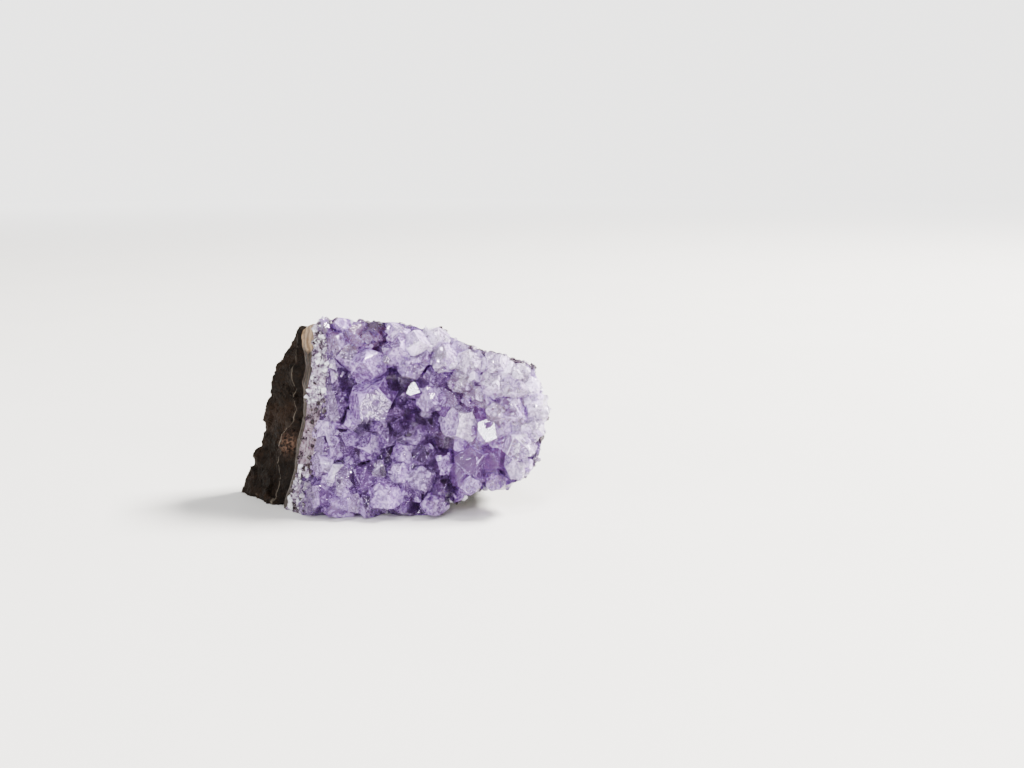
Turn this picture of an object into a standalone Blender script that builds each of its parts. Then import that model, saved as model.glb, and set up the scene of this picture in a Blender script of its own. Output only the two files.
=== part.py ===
"""Amethyst cluster: a broken piece of geode wall, lying on its flat basalt foot.

Three layers grew one on another and broke off together. Dark basalt is at the back and foot, a thin
rind of chalcedony lines it, and a crust of quartz with amethyst points covers the front.
Lengths are in millimetres here and become metres when a mesh is made. X runs to the right along the
crystal face, Y runs back into the rock and Z is up.
"""

import itertools
import math
import random

import bmesh
import bpy
import numpy as np
from mathutils import Vector, noise

MM = 0.001

# Driving dimensions
CRUST_BASE = 3.4  # solid quartz under the points
RIND = 0.8  # chalcedony, away from its thick corner
RIND_CORNER = 4.8  # what the thick corner at the top left adds
CORNER_AT = (-18.0, 39.0)  # where that corner is (x, z)
CORNER_SPREAD = 7.0  # how far it takes to thin out
LAYER_GAP = 0.3  # clearance between the layers
FACE_START = 2.0  # how far back the face's base is at the foot
FACE_LEAN = 0.22  # how fast the face leans back with height
BOWL_DEPTH = 1.8  # the hollow in the middle of the face
BOWL_REACH = (25.0, 19.0)  # how far the hollow goes to each side and up and down
RIPPLE = 0.35  # the gentle unevenness that every layer boundary shares
FOOT_FLAT = 0.45  # anything of the foot this low is broken off flat at the bottom
CENTRE = (-0.1, 15.1, 0.0)  # the middle of the foot, which becomes the origin

# The outline of the crust's face (x, z), and the point (x, y, z) that the break behind it runs to.
OUTLINE = [
    ((-17.9, 0.3), (-34.5, 19.1, 0.2)),
    ((-13.4, 0.1), (-29.0, 28.5, 0.0)),
    ((-5.6, 0.1), (-17.0, 33.0, 0.0)),
    ((3.0, 0.1), (-2.0, 33.8, 0.0)),
    ((9.8, 0.4), (12.0, 32.0, 0.0)),
    ((13.8, 3.0), (18.0, 29.0, 1.4)),
    ((20.9, 5.4), (22.6, 27.0, 5.0)),
    ((24.5, 5.6), (24.6, 25.0, 7.6)),
    ((29.2, 7.7), (26.4, 23.5, 10.4)),
    ((32.0, 12.4), (27.4, 22.5, 13.8)),
    ((32.6, 16.6), (27.2, 22.0, 17.5)),
    ((32.8, 21.7), (27.2, 22.0, 21.5)),
    ((32.2, 26.6), (27.0, 22.0, 24.6)),
    ((30.6, 30.6), (26.6, 21.6, 29.4)),
    ((25.2, 31.8), (22.8, 21.4, 30.8)),
    ((18.8, 34.2), (16.6, 22.2, 30.6)),
    ((10.6, 37.6), (8.5, 23.0, 32.6)),
    ((2.4, 39.5), (0.8, 23.4, 34.0)),
    ((-6.0, 39.8), (-8.0, 23.4, 34.6)),
    ((-14.4, 40.1), (-20.4, 21.0, 36.2)),
    ((-12.8, 33.4), (-23.6, 21.0, 31.8)),
    ((-13.2, 26.6), (-29.2, 20.4, 27.4)),
    ((-14.4, 19.6), (-28.9, 20.0, 18.6)),
    ((-15.7, 12.6), (-30.2, 20.0, 11.6)),
    ((-17.1, 6.0), (-32.2, 19.6, 6.0)),
]
FACE_MIDDLE = (5.5, 19.5)
BACK_MIDDLE = (-2.0, 26.5, 15.0)
BACK_BULGE = 4.5  # how far the middle of the back stands out before it is cut flat
BACK_START = 24.0  # past this y the basalt's flat fractures are roughened
BACK_ROUGHNESS = 0.5
GROOVE_DEPTH = 1.0  # the sunk strip of basalt beside the rind
LEDGE_HEIGHT = 0.35  # the low ledge that ends that strip
AROUND = 54  # points round each ring of the layers
FILL_SHARES = (0.45, 0.75, 0.9, 0.97)  # rings inside that one, from the middle outward

# Flat fractures across the back of the basalt, each through three points
FRACTURES = [
    ((-17.0, 33.0, 0.0), (12.0, 32.6, 0.0), (0.0, 24.4, 33.0)),
    ((-29.0, 28.6, 0.0), (-16.0, 33.2, 0.0), (-21.0, 23.6, 31.0)),
    ((-34.2, 19.6, 0.0), (-28.6, 28.8, 0.0), (-23.0, 22.2, 30.0)),
    ((11.0, 32.4, 0.0), (20.0, 27.6, 4.0), (22.0, 23.0, 26.0)),
    ((-14.0, 23.8, 34.0), (9.0, 24.6, 30.0), (2.0, 28.6, 20.0)),
    ((-24.0, 29.6, 3.0), (-6.0, 33.0, 9.0), (-16.0, 26.6, 22.0)),
    ((4.0, 33.0, 6.0), (17.0, 28.4, 10.0), (8.0, 27.4, 22.0)),
]

# Amethyst points set by eye: tip (x, z), half width, lean of the axis to (right, up), tip height, spin
POINTS = [
    (-4.2, 32.4, 3.5, (-0.10, 0.30), 6.6, 10),
    (-4.6, 21.2, 4.3, (-0.25, -0.42), 7.2, 35),
    (-10.6, 28.4, 2.7, (0.10, 0.15), 3.4, 0),
    (-12.2, 36.2, 2.6, (-0.20, 0.35), 4.2, 20),
    (-13.6, 21.4, 3.4, (-0.35, -0.10), 4.6, 40),
    (-2.4, 39.0, 2.6, (0.05, 0.60), 4.4, 5),
    (-2.6, 36.8, 1.9, (0.30, 0.20), 4.6, 50),
    (3.2, 35.2, 3.1, (0.15, 0.35), 5.6, 15),
    (7.2, 36.4, 3.0, (0.25, 0.45), 5.4, 45),
    (4.4, 29.6, 2.7, (-0.30, -0.35), 6.2, 25),
    (8.2, 32.8, 1.9, (0.35, 0.10), 5.0, 5),
    (6.2, 26.4, 1.9, (0.25, 0.30), 5.4, 30),
    (10.2, 23.6, 3.3, (0.20, -0.10), 5.4, 55),
    (15.2, 28.2, 2.5, (-0.10, 0.20), 5.2, 12),
    (12.8, 33.2, 2.9, (0.20, 0.40), 4.8, 33),
    (18.0, 32.4, 2.5, (0.25, 0.40), 4.4, 48),
    (23.2, 21.4, 2.2, (0.10, 0.05), 6.4, 8),
    (27.6, 21.2, 3.5, (0.35, 0.05), 5.2, 28),
    (21.8, 16.8, 2.3, (0.20, -0.25), 6.2, 52),
    (14.8, 17.4, 3.5, (-0.15, -0.25), 6.4, 18),
    (30.0, 13.6, 3.3, (0.60, -0.20), 4.8, 42),
    (18.2, 9.8, 3.2, (0.10, -0.20), 5.6, 3),
    (23.4, 10.8, 2.9, (0.25, -0.15), 4.2, 36),
    (3.2, 12.4, 2.9, (-0.10, 0.10), 4.8, 22),
    (-4.8, 7.2, 3.2, (-0.10, -0.15), 5.6, 47),
    (-1.4, 9.8, 1.5, (0.05, 0.10), 5.6, 14),
    (-13.8, 16.2, 3.0, (-0.25, 0.05), 4.0, 31),
    (-8.2, 14.8, 2.8, (0.05, 0.20), 4.0, 57),
    (-3.8, 14.6, 2.7, (0.10, 0.15), 3.8, 7),
    (1.8, 22.6, 2.8, (0.15, 0.30), 3.6, 27),
    (6.6, 18.8, 2.6, (0.20, 0.10), 3.6, 49),
    (8.6, 11.6, 2.7, (0.15, -0.10), 5.0, 16),
    (3.0, 8.2, 2.5, (0.05, -0.10), 5.4, 38),
    (7.8, 6.4, 2.9, (0.10, -0.25), 5.6, 2),
    (0.8, 2.8, 3.4, (0.15, -0.45), 5.6, 24),
    (-14.4, 3.4, 2.6, (-0.25, -0.30), 4.6, 53),
    (-7.8, 2.6, 2.8, (-0.05, -0.35), 5.0, 11),
    (12.4, 5.0, 2.4, (0.20, -0.35), 4.6, 34),
    (23.2, 6.6, 2.0, (0.20, -0.50), 4.6, 56),
    (28.2, 8.6, 2.2, (0.50, -0.40), 4.0, 19),
    (28.2, 27.0, 3.0, (0.35, 0.25), 4.2, 41),
    (22.8, 27.4, 2.8, (0.20, 0.25), 4.4, 6),
    (18.6, 24.6, 2.5, (0.10, 0.10), 4.8, 29),
    (20.0, 20.8, 1.9, (0.10, -0.10), 3.8, 51),
    (12.6, 20.6, 2.0, (0.05, -0.10), 3.2, 13),
    (-12.5, 29.6, 2.3, (-0.30, 0.10), 3.2, 37),
    (-14.9, 10.0, 2.7, (-0.35, 0.05), 3.4, 59),
    (-11.2, 8.4, 2.6, (-0.10, 0.05), 3.8, 21),
    (1.6, 17.4, 2.4, (0.05, 0.10), 3.2, 43),
    (-9.8, 23.4, 2.4, (0.05, -0.05), 2.8, 4),
    (0.6, 26.4, 2.3, (0.15, 0.15), 2.8, 26),
    (12.2, 28.8, 2.2, (0.15, 0.20), 4.0, 46),
]

# Smaller points that fill in between: their half widths, how close they may stand, how many tries
FILL_SIZES = (2.9, 1.5)
FILL_CLOSENESS = 0.6
FILL_TRIES = 3200

# A quartz point: the angle between its end faces and its axis, in degrees
END_ANGLE = 38.2
ROOT = 2.0  # how far a point reaches down into the solid quartz
TRIM_OUT = 0.8  # how far points may reach past the break's outline
LEFT_TRIM_OUT = 0.15  # the same on the straight break at the left
LEFT_RIM = -12.5  # the outline's corners past this x are on that break
FOOT_NORMAL = -0.9  # a run whose plane faces down more than this is part of the foot
TRIM_REACH = 6.0  # points within this of a run of the outline are broken off along it

# Looks, from the photo
PURPLE = (0.36, 0.23, 0.62, 1.0)
CHALCEDONY = (0.52, 0.44, 0.36, 1.0)
BASALT = (0.055, 0.045, 0.038, 1.0)


def clear_scene():
    for obj in list(bpy.data.objects):
        bpy.data.objects.remove(obj)


def material(name, colour, roughness):
    made = bpy.data.materials.new(name)
    made.use_nodes = True
    shader = made.node_tree.nodes["Principled BSDF"]
    shader.inputs["Base Color"].default_value = colour
    shader.inputs["Roughness"].default_value = roughness
    shader.inputs["Metallic"].default_value = 0.0
    return made


def add_object(name, points, faces, look=None):
    """An object with its faces outward, from points in millimetres about the foot's middle."""
    mesh = bpy.data.meshes.new(name)
    mesh.from_pydata(((np.asarray(points) - CENTRE) * MM).tolist(), [], faces)
    shape = bmesh.new()
    shape.from_mesh(mesh)
    if shape.calc_volume(signed=True) < 0.0:
        bmesh.ops.reverse_faces(shape, faces=shape.faces)
    shape.to_mesh(mesh)
    shape.free()
    obj = bpy.data.objects.new(name, mesh)
    bpy.context.scene.collection.objects.link(obj)
    if look:
        mesh.materials.append(look)
    return obj


def ring_of_outline(count):
    """The outline and the points behind it, spaced evenly: (count, 2) and (count, 3)."""
    corners = np.array([front + back for front, back in OUTLINE])
    closed = np.vstack([corners, corners[:1]])
    steps = np.linalg.norm(np.diff(closed[:, :2], axis=0), axis=1)
    along = np.concatenate([[0.0], np.cumsum(steps)])
    at = np.linspace(0.0, along[-1], count, endpoint=False)
    spaced = np.stack([np.interp(at, along, closed[:, k]) for k in range(5)], axis=1)
    return spaced[:, :2], spaced[:, 2:]


def face_y(x, z):
    """How far back the crust's base is at (x, z)."""
    across = ((x - FACE_MIDDLE[0]) / BOWL_REACH[0]) ** 2 + ((z - FACE_MIDDLE[1]) / BOWL_REACH[1]) ** 2
    return FACE_START + FACE_LEAN * z + BOWL_DEPTH * np.clip(1.0 - across, 0.0, 1.0)


def layer_y(x, z, depth):
    """The y of the boundary at that depth below the face's base."""
    return face_y(x, z) + depth + RIPPLE * np.sin(0.55 * x + 0.8) * np.cos(0.47 * z - 0.4)


# The depths of the layers' boundaries, over (x, z)


def crust_front(x, z):
    return np.zeros_like(x)


def crust_back(x, z):
    return np.full_like(x, CRUST_BASE)


def rind_front(x, z):
    return crust_back(x, z) + LAYER_GAP


def rind_back(x, z):
    away = ((x - CORNER_AT[0]) ** 2 + (z - CORNER_AT[1]) ** 2) / CORNER_SPREAD**2
    return rind_front(x, z) + RIND + RIND_CORNER * np.exp(-(away**2))


def basalt_front(x, z):
    return rind_back(x, z) + LAYER_GAP


# Rings of points round the piece, and the closed skins through them


def ring_at_depth(front, back, depth):
    """The ring where the break meets the boundary at that depth, found by halving."""
    start = np.column_stack([front[:, 0], layer_y(front[:, 0], front[:, 1], 0.0), front[:, 1]])
    low = np.zeros(len(front))
    high = np.ones(len(front))
    for _ in range(24):
        middle = (low + high) / 2
        at = start + (back - start) * middle[:, None]
        behind = at[:, 1] > layer_y(at[:, 0], at[:, 2], depth(at[:, 0], at[:, 2]))
        high = np.where(behind, middle, high)
        low = np.where(behind, low, middle)
    return start + (back - start) * middle[:, None]


def outward(ring, front, back):
    """Unit vectors out of the break at each ring point."""
    around = np.roll(ring, -1, axis=0) - np.roll(ring, 1, axis=0)
    inward_run = back - np.column_stack([front[:, 0], face_y(front[:, 0], front[:, 1]), front[:, 1]])
    out = np.cross(inward_run, around)
    out /= np.linalg.norm(out, axis=1)[:, None]
    return out


def wall(front, back, shallow, deep, shares):
    """Rings on the break between two depths. A deep end of None is the back of the piece."""
    first = ring_at_depth(front, back, shallow)
    last = back if deep is None else ring_at_depth(front, back, deep)
    return [first + share * (last - first) for share in shares]


def cap(ring, depth, shares):
    """Rings that fill the ring with the boundary at that depth, and the point in its middle."""
    made = []
    for share in (0.0, *shares):
        x = FACE_MIDDLE[0] + share * (ring[:, 0] - FACE_MIDDLE[0])
        z = FACE_MIDDLE[1] + share * (ring[:, 2] - FACE_MIDDLE[1])
        made.append(np.column_stack([x, layer_y(x, z, depth(x, z)), z]))
    return made[1:], made[0][0]


def lumps(point, scale, seed):
    """Smooth noise from -1 to 1, in lumps of about 1 / scale."""
    return noise.noise(Vector(point) * scale + Vector((seed, 2.0 * seed, -seed)))


def closed_stack(first, rings, last):
    """Points and faces of the closed skin through the rings, from one pole to the other."""
    count = len(rings[0])
    points = np.vstack([first[None, :], *rings, last[None, :]])
    faces = []
    for k in range(count):
        faces.append((0, 1 + k, 1 + (k + 1) % count))
    for r in range(len(rings) - 1):
        here = 1 + r * count
        there = here + count
        widening = np.ptp(rings[r][:, 0]) < np.ptp(rings[r + 1][:, 0])
        for k in range(count):
            after = (k + 1) % count
            corners = (here + k, there + k, there + after, here + after)
            # The same split in every layer, so that boundaries that face each other stay parallel.
            if not widening:
                corners = corners[1:] + corners[:1]
            faces += [corners[:3], (corners[0], *corners[2:])]
    end = len(points) - 1
    here = 1 + (len(rings) - 1) * count
    for k in range(count):
        faces.append((end, here + (k + 1) % count, here + k))
    return points, faces


def flatten_foot(points):
    """What is nearly at the bottom is broken off flat, and nothing goes below it."""
    low = points[:, 2] < FOOT_FLAT
    points[low, 2] = 0.0
    return points


def kept_between(points, shallow=None, deep=None):
    """Holds points to the space between two depths, which keeps the layers' clearance."""
    x, y, z = points.T
    if shallow is not None:
        y = np.maximum(y, layer_y(x, z, shallow(x, z)))
    if deep is not None:
        y = np.minimum(y, layer_y(x, z, deep(x, z)))
    return np.column_stack([x, y, z])


# The three layers


def cut_flat(points, inside):
    """Moves what is past a flat fracture back onto it."""
    for corners in np.array(FRACTURES):
        normal = np.cross(corners[1] - corners[0], corners[2] - corners[0])
        normal /= np.linalg.norm(normal)
        if normal @ (corners[0] - inside) < 0.0:
            normal = -normal
        past = (points - corners[0]) @ normal
        points = points - np.maximum(past, 0.0)[:, None] * normal
    return points


def rock_relief(point):
    """How far the broken basalt stands out there: broad lumps, ledges and small chips."""
    ledges = 0.5 * math.tanh(5.0 * lumps(point, 0.2, 11.0))
    relief = lumps(point, 0.09, 3.0) + ledges + 0.4 * lumps(point, 0.42, 23.0)
    return 0.25 * relief if point[2] < 1.2 else relief


def groove(share):
    """The sunk strip of basalt beside the rind, and the low ledge that ends it."""
    sunk = GROOVE_DEPTH * max(0.0, 1.0 - share / 0.16)
    return LEDGE_HEIGHT * math.exp(-(((share - 0.25) / 0.06) ** 2)) - sunk


def basalt(front, back):
    shares = (0.0, 0.08, 0.16, 0.25, 0.34, 0.46, 0.6, 0.74, 0.88, 1.0)
    sides = wall(front, back, basalt_front, None, shares)
    out = outward(sides[0], front, back)
    for share, ring in zip(shares, sides):
        for k in range(len(ring)):
            relief = rock_relief(ring[k]) * min(1.0, 0.25 + 3.0 * share)
            ring[k] += out[k] * (relief + groove(share))
    inner, pole = cap(ring_at_depth(front, back, rind_back), basalt_front, FILL_SHARES)
    rear = []
    for share in (0.92, 0.8, 0.66, 0.5, 0.32, 0.16):
        rim = back + share**6 * (sides[-1] - back)
        ring = BACK_MIDDLE + share * (rim - BACK_MIDDLE)
        for k in range(len(ring)):
            ring[k, 1] += BACK_BULGE * (1.0 - share) + 0.6 * rock_relief(ring[k])
        rear.append(ring)
    end = np.array(BACK_MIDDLE) + (0.0, BACK_BULGE, 0.0)
    points, faces = closed_stack(pole, inner + sides + rear, end)
    points = cut_flat(points, BACK_MIDDLE)
    for point in points:
        if point[1] > BACK_START:
            point += BACK_ROUGHNESS * noise.noise_vector(Vector(point) * 0.5)
    points = kept_between(flatten_foot(points), basalt_front)
    return add_object("basalt_matrix", points, faces, material("basalt", BASALT, 0.85))


def rind(front, back):
    sides = wall(front, back, rind_front, rind_back, (0.0, 0.5, 1.0))
    out = outward(sides[0], front, back)
    for ring in sides:
        for k in range(len(ring)):
            ring[k] += out[k] * (0.25 * lumps(ring[k], 0.5, 31.0) - 0.1)
    near, first = cap(ring_at_depth(front, back, rind_front), rind_front, FILL_SHARES)
    far, last = cap(ring_at_depth(front, back, rind_back), rind_back, FILL_SHARES)
    points, faces = closed_stack(first, near + sides + far[::-1], last)
    points = kept_between(flatten_foot(points), rind_front, rind_back)
    return add_object("chalcedony_rind", points, faces, material("chalcedony", CHALCEDONY, 0.45))


# The amethyst crust


def solid_of_planes(planes):
    """Corners and flat faces of the solid inside all the planes, rows of (normal, distance)."""
    normals, distances = planes[:, :3], planes[:, 3]
    triples = np.array(list(itertools.combinations(range(len(planes)), 3)))
    sets = normals[triples]
    sound = np.abs(np.linalg.det(sets)) > 1e-6
    found = np.linalg.solve(sets[sound], distances[triples[sound]][:, :, None])[:, :, 0]
    kept = found[(found @ normals.T <= distances + 1e-6).all(axis=1)]
    corners = np.unique(np.round(kept, 5), axis=0)
    faces = []
    for normal, distance in zip(normals, distances):
        on = np.flatnonzero(np.abs(corners @ normal - distance) < 1e-4)
        if len(on) < 3:
            continue
        side = np.cross(normal, (0.31, 0.59, 0.74))
        other = np.cross(normal, side)
        spread = corners[on] - corners[on].mean(axis=0)
        turn = np.argsort(np.arctan2(spread @ other, spread @ side))
        faces.append([int(v) for v in on[turn]])
    return corners, faces


def break_runs():
    """The straight runs of the break round the crust: two ends (x, z), and the plane they lie in."""
    corners = np.array([(x, face_y(x, z), z) for (x, z), _ in OUTLINE])
    ends = np.array([end for _, end in OUTLINE])
    runs = []
    for k in range(len(corners)):
        after = (k + 1) % len(corners)
        inward = (ends[k] - corners[k]) + (ends[after] - corners[after])
        normal = np.cross(inward, corners[after] - corners[k])
        normal /= np.linalg.norm(normal)
        on_left = max(corners[k][0], corners[after][0]) < LEFT_RIM
        past = LEFT_TRIM_OUT if on_left else TRIM_OUT
        if normal[2] > FOOT_NORMAL:
            plane = (*normal, normal @ corners[k] + past)
            runs.append((corners[k][[0, 2]], corners[after][[0, 2]], plane))
    return runs


def nearby_breaks(runs, x, z):
    """The planes that a point at (x, z) is broken off along: the foot, and the runs within reach."""
    planes = [(0.0, 0.0, -1.0, 0.0)]
    for start, end, plane in runs:
        along = end - start
        share = np.clip((np.array((x, z)) - start) @ along / (along @ along), 0.0, 1.0)
        if math.dist((x, z), start + share * along) < TRIM_REACH:
            planes.append(plane)
    return planes


def quartz_point(tip, axis, half_width, root, spin, trims, rng):
    """A six-sided quartz point with three large and three small end faces."""
    axis = np.array(axis) / np.linalg.norm(axis)
    side = np.cross(axis, (0.0, 0.0, 1.0))
    side /= np.linalg.norm(side)
    other = np.cross(axis, side)
    end_tilt = math.radians(90.0 - END_ANGLE)
    into_rock = np.array((0.0, 1.0, -FACE_LEAN))
    planes = [(*into_rock, into_rock @ (tip[0], root, tip[2]))]
    for k in range(6):
        turn = math.radians(spin + 60.0 * k)
        flank = math.cos(turn) * side + math.sin(turn) * other
        planes.append((*flank, flank @ tip + half_width * rng.uniform(0.86, 1.14)))
        end = math.cos(end_tilt) * axis + math.sin(end_tilt) * flank
        set_back = rng.uniform(0.0, 0.12) if k % 2 else rng.uniform(0.12, 0.45)
        planes.append((*end, end @ tip + half_width * set_back))
    return solid_of_planes(np.vstack([planes, trims]))


def inside_outline(x, z):
    corners = np.array([front for front, _ in OUTLINE])
    after = np.roll(corners, -1, axis=0)
    spans = (corners[:, 1] > z) != (after[:, 1] > z)
    at = corners[:, 0] + (z - corners[:, 1]) * (after[:, 0] - corners[:, 0]) / (
        after[:, 1] - corners[:, 1] + 1e-12
    )
    return bool((spans & (x < at)).sum() % 2)


def fill_points(rng):
    """Smaller points wherever there is room for one, largest first, as in POINTS."""
    made = []
    for k in range(FILL_TRIES):
        size = FILL_SIZES[0] + (FILL_SIZES[1] - FILL_SIZES[0]) * k / FILL_TRIES
        x, z = rng.uniform(-20.0, 33.0), rng.uniform(0.0, 40.0)
        lean = [0.5 * (x - FACE_MIDDLE[0]) / 25.0, 0.5 * (z - FACE_MIDDLE[1]) / 19.0]
        lean = [along + rng.uniform(-0.35, 0.35) for along in lean]
        height, spin = size * rng.uniform(1.0, 1.5), rng.uniform(0.0, 60.0)
        crowded = any(
            math.dist((x, z), other[:2]) < FILL_CLOSENESS * (size + other[2])
            for other in POINTS + made
        )
        if not crowded and inside_outline(x, z):
            made.append((x, z, size, lean, height, spin))
    return made


def largest_shell(shape):
    """Removes every closed shell but the largest, such as a void that points closed off."""
    shells = []
    left = set(shape.verts)
    while left:
        shell, edge = set(), {next(iter(left))}
        while edge:
            shell |= edge
            edge = {e.other_vert(v) for v in edge for e in v.link_edges} - shell
        left -= shell
        shells.append(shell)
    shells.sort(key=len)
    bmesh.ops.delete(shape, geom=[v for shell in shells[:-1] for v in shell], context="VERTS")


def fuse(base, grown):
    """Joins the overlapping points to each other and to their base, as one closed solid."""
    union = base.modifiers.new("join points", "BOOLEAN")
    union.operation = "UNION"
    union.solver = "EXACT"
    union.use_self = True
    union.object = grown
    graph = bpy.context.evaluated_depsgraph_get()
    joined = bpy.data.meshes.new_from_object(base.evaluated_get(graph))
    shape = bmesh.new()
    shape.from_mesh(joined)
    largest_shell(shape)
    shape.to_mesh(joined)
    shape.free()
    base.modifiers.clear()
    base.data = joined
    bpy.data.objects.remove(grown)


def crust(front, back):
    rng = random.Random(8)
    runs = break_runs()
    sides = wall(front, back, crust_front, crust_back, (0.0, 0.5, 1.0))
    out = outward(sides[0], front, back)
    for ring in sides:
        for k in range(len(ring)):
            ring[k] += out[k] * (0.5 * lumps(ring[k], 0.6, 41.0) - 0.1)
    near, first = cap(ring_at_depth(front, back, crust_front), crust_front, (0.4, 0.8))
    far, last = cap(ring_at_depth(front, back, crust_back), crust_back, FILL_SHARES)
    points, faces = closed_stack(first, near + sides + far[::-1], last)
    points = kept_between(flatten_foot(points), deep=crust_back)
    base = add_object("amethyst_crust", points, faces, material("amethyst", PURPLE, 0.12))
    corners, loops = [], []
    for x, z, size, lean, height, spin in POINTS + fill_points(rng):
        tip = np.array([x, face_y(x, z) - height, z])
        axis = (lean[0], -1.0, lean[1])
        trims = nearby_breaks(runs, x, z)
        root = face_y(x, z) + ROOT
        made, sides_of = quartz_point(tip, axis, size, root, spin, trims, rng)
        loops += [[v + len(corners) for v in loop] for loop in sides_of]
        corners += made.tolist()
    fuse(base, add_object("grown_points", corners, loops))
    return base


def main():
    clear_scene()
    front, back = ring_of_outline(AROUND)
    basalt(front, back)
    rind(front, back)
    crust(front, back)


main()
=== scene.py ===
"""The looks of the amethyst cluster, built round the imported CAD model.

The three layers are made again from the same named values as the CAD, with finer relief: dark basalt,
a thin rind of chalcedony, and the quartz crust with its amethyst points, small points between them and
crumbs of broken quartz along the break. Shapes are worked out in millimetres and become metres when a
mesh is made. X runs to the right along the crystal face, Y runs back into the rock and Z is up.
"""

import itertools
import math
import random

import bmesh
import bpy
import numpy as np
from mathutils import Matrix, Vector, noise
from mathutils.bvhtree import BVHTree
from mathutils.interpolate import poly_3d_calc


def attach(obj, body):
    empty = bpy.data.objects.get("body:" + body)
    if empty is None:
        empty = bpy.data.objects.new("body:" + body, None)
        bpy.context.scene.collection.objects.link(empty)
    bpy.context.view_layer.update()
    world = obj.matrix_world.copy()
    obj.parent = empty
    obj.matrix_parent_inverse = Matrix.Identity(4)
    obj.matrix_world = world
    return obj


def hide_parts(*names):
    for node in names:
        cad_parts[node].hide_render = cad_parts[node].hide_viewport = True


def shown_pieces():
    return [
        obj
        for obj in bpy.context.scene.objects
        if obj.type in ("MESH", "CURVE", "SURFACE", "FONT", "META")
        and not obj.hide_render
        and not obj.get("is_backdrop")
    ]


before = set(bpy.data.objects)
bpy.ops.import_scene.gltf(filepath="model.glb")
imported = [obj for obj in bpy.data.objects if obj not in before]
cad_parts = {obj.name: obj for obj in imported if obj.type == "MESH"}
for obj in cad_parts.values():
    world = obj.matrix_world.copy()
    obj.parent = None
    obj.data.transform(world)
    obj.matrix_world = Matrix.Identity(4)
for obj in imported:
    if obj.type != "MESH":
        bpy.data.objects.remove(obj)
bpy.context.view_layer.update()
noise.seed_set(5)  # without a seed the noise vectors would differ from run to run

MM = 0.001

# The CAD's driving dimensions
CRUST_BASE = 3.4
RIND = 0.8
RIND_CORNER = 4.8
CORNER_AT = (-18.0, 39.0)
CORNER_SPREAD = 7.0
FACE_START = 2.0
FACE_LEAN = 0.22
BOWL_DEPTH = 1.8
BOWL_REACH = (25.0, 19.0)
RIPPLE = 0.35
FOOT_FLAT = 0.45
CENTRE = (-0.1, 15.1, 0.0)
LAYER_GAP = 0.3
SEAM = 0.06  # how far each layer reaches into the next, where the CAD leaves its clearance

# The outline of the crust's face (x, z), and the point (x, y, z) that the break behind it runs to
OUTLINE = [
    ((-17.9, 0.3), (-34.5, 19.1, 0.2)),
    ((-13.4, 0.1), (-29.0, 28.5, 0.0)),
    ((-5.6, 0.1), (-17.0, 33.0, 0.0)),
    ((3.0, 0.1), (-2.0, 33.8, 0.0)),
    ((9.8, 0.4), (12.0, 32.0, 0.0)),
    ((13.8, 3.0), (18.0, 29.0, 1.4)),
    ((20.9, 5.4), (22.6, 27.0, 5.0)),
    ((24.5, 5.6), (24.6, 25.0, 7.6)),
    ((29.2, 7.7), (26.4, 23.5, 10.4)),
    ((32.0, 12.4), (27.4, 22.5, 13.8)),
    ((32.6, 16.6), (27.2, 22.0, 17.5)),
    ((32.8, 21.7), (27.2, 22.0, 21.5)),
    ((32.2, 26.6), (27.0, 22.0, 24.6)),
    ((30.6, 30.6), (26.6, 21.6, 29.4)),
    ((25.2, 31.8), (22.8, 21.4, 30.8)),
    ((18.8, 34.2), (16.6, 22.2, 30.6)),
    ((10.6, 37.6), (8.5, 23.0, 32.6)),
    ((2.4, 39.5), (0.8, 23.4, 34.0)),
    ((-6.0, 39.8), (-8.0, 23.4, 34.6)),
    ((-14.4, 40.1), (-20.4, 21.0, 36.2)),
    ((-12.8, 33.4), (-23.6, 21.0, 31.8)),
    ((-13.2, 26.6), (-29.2, 20.4, 27.4)),
    ((-14.4, 19.6), (-28.9, 20.0, 18.6)),
    ((-15.7, 12.6), (-30.2, 20.0, 11.6)),
    ((-17.1, 6.0), (-32.2, 19.6, 6.0)),
]
FACE_MIDDLE = (5.5, 19.5)
BACK_MIDDLE = (-2.0, 26.5, 15.0)
BACK_BULGE = 4.5
BACK_START = 24.0
BACK_ROUGHNESS = 0.5
GROOVE_DEPTH = 1.0
LEDGE_HEIGHT = 0.35
FRACTURES = [
    ((-17.0, 33.0, 0.0), (12.0, 32.6, 0.0), (0.0, 24.4, 33.0)),
    ((-29.0, 28.6, 0.0), (-16.0, 33.2, 0.0), (-21.0, 23.6, 31.0)),
    ((-34.2, 19.6, 0.0), (-28.6, 28.8, 0.0), (-23.0, 22.2, 30.0)),
    ((11.0, 32.4, 0.0), (20.0, 27.6, 4.0), (22.0, 23.0, 26.0)),
    ((-14.0, 23.8, 34.0), (9.0, 24.6, 30.0), (2.0, 28.6, 20.0)),
    ((-24.0, 29.6, 3.0), (-6.0, 33.0, 9.0), (-16.0, 26.6, 22.0)),
    ((4.0, 33.0, 6.0), (17.0, 28.4, 10.0), (8.0, 27.4, 22.0)),
]

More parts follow.
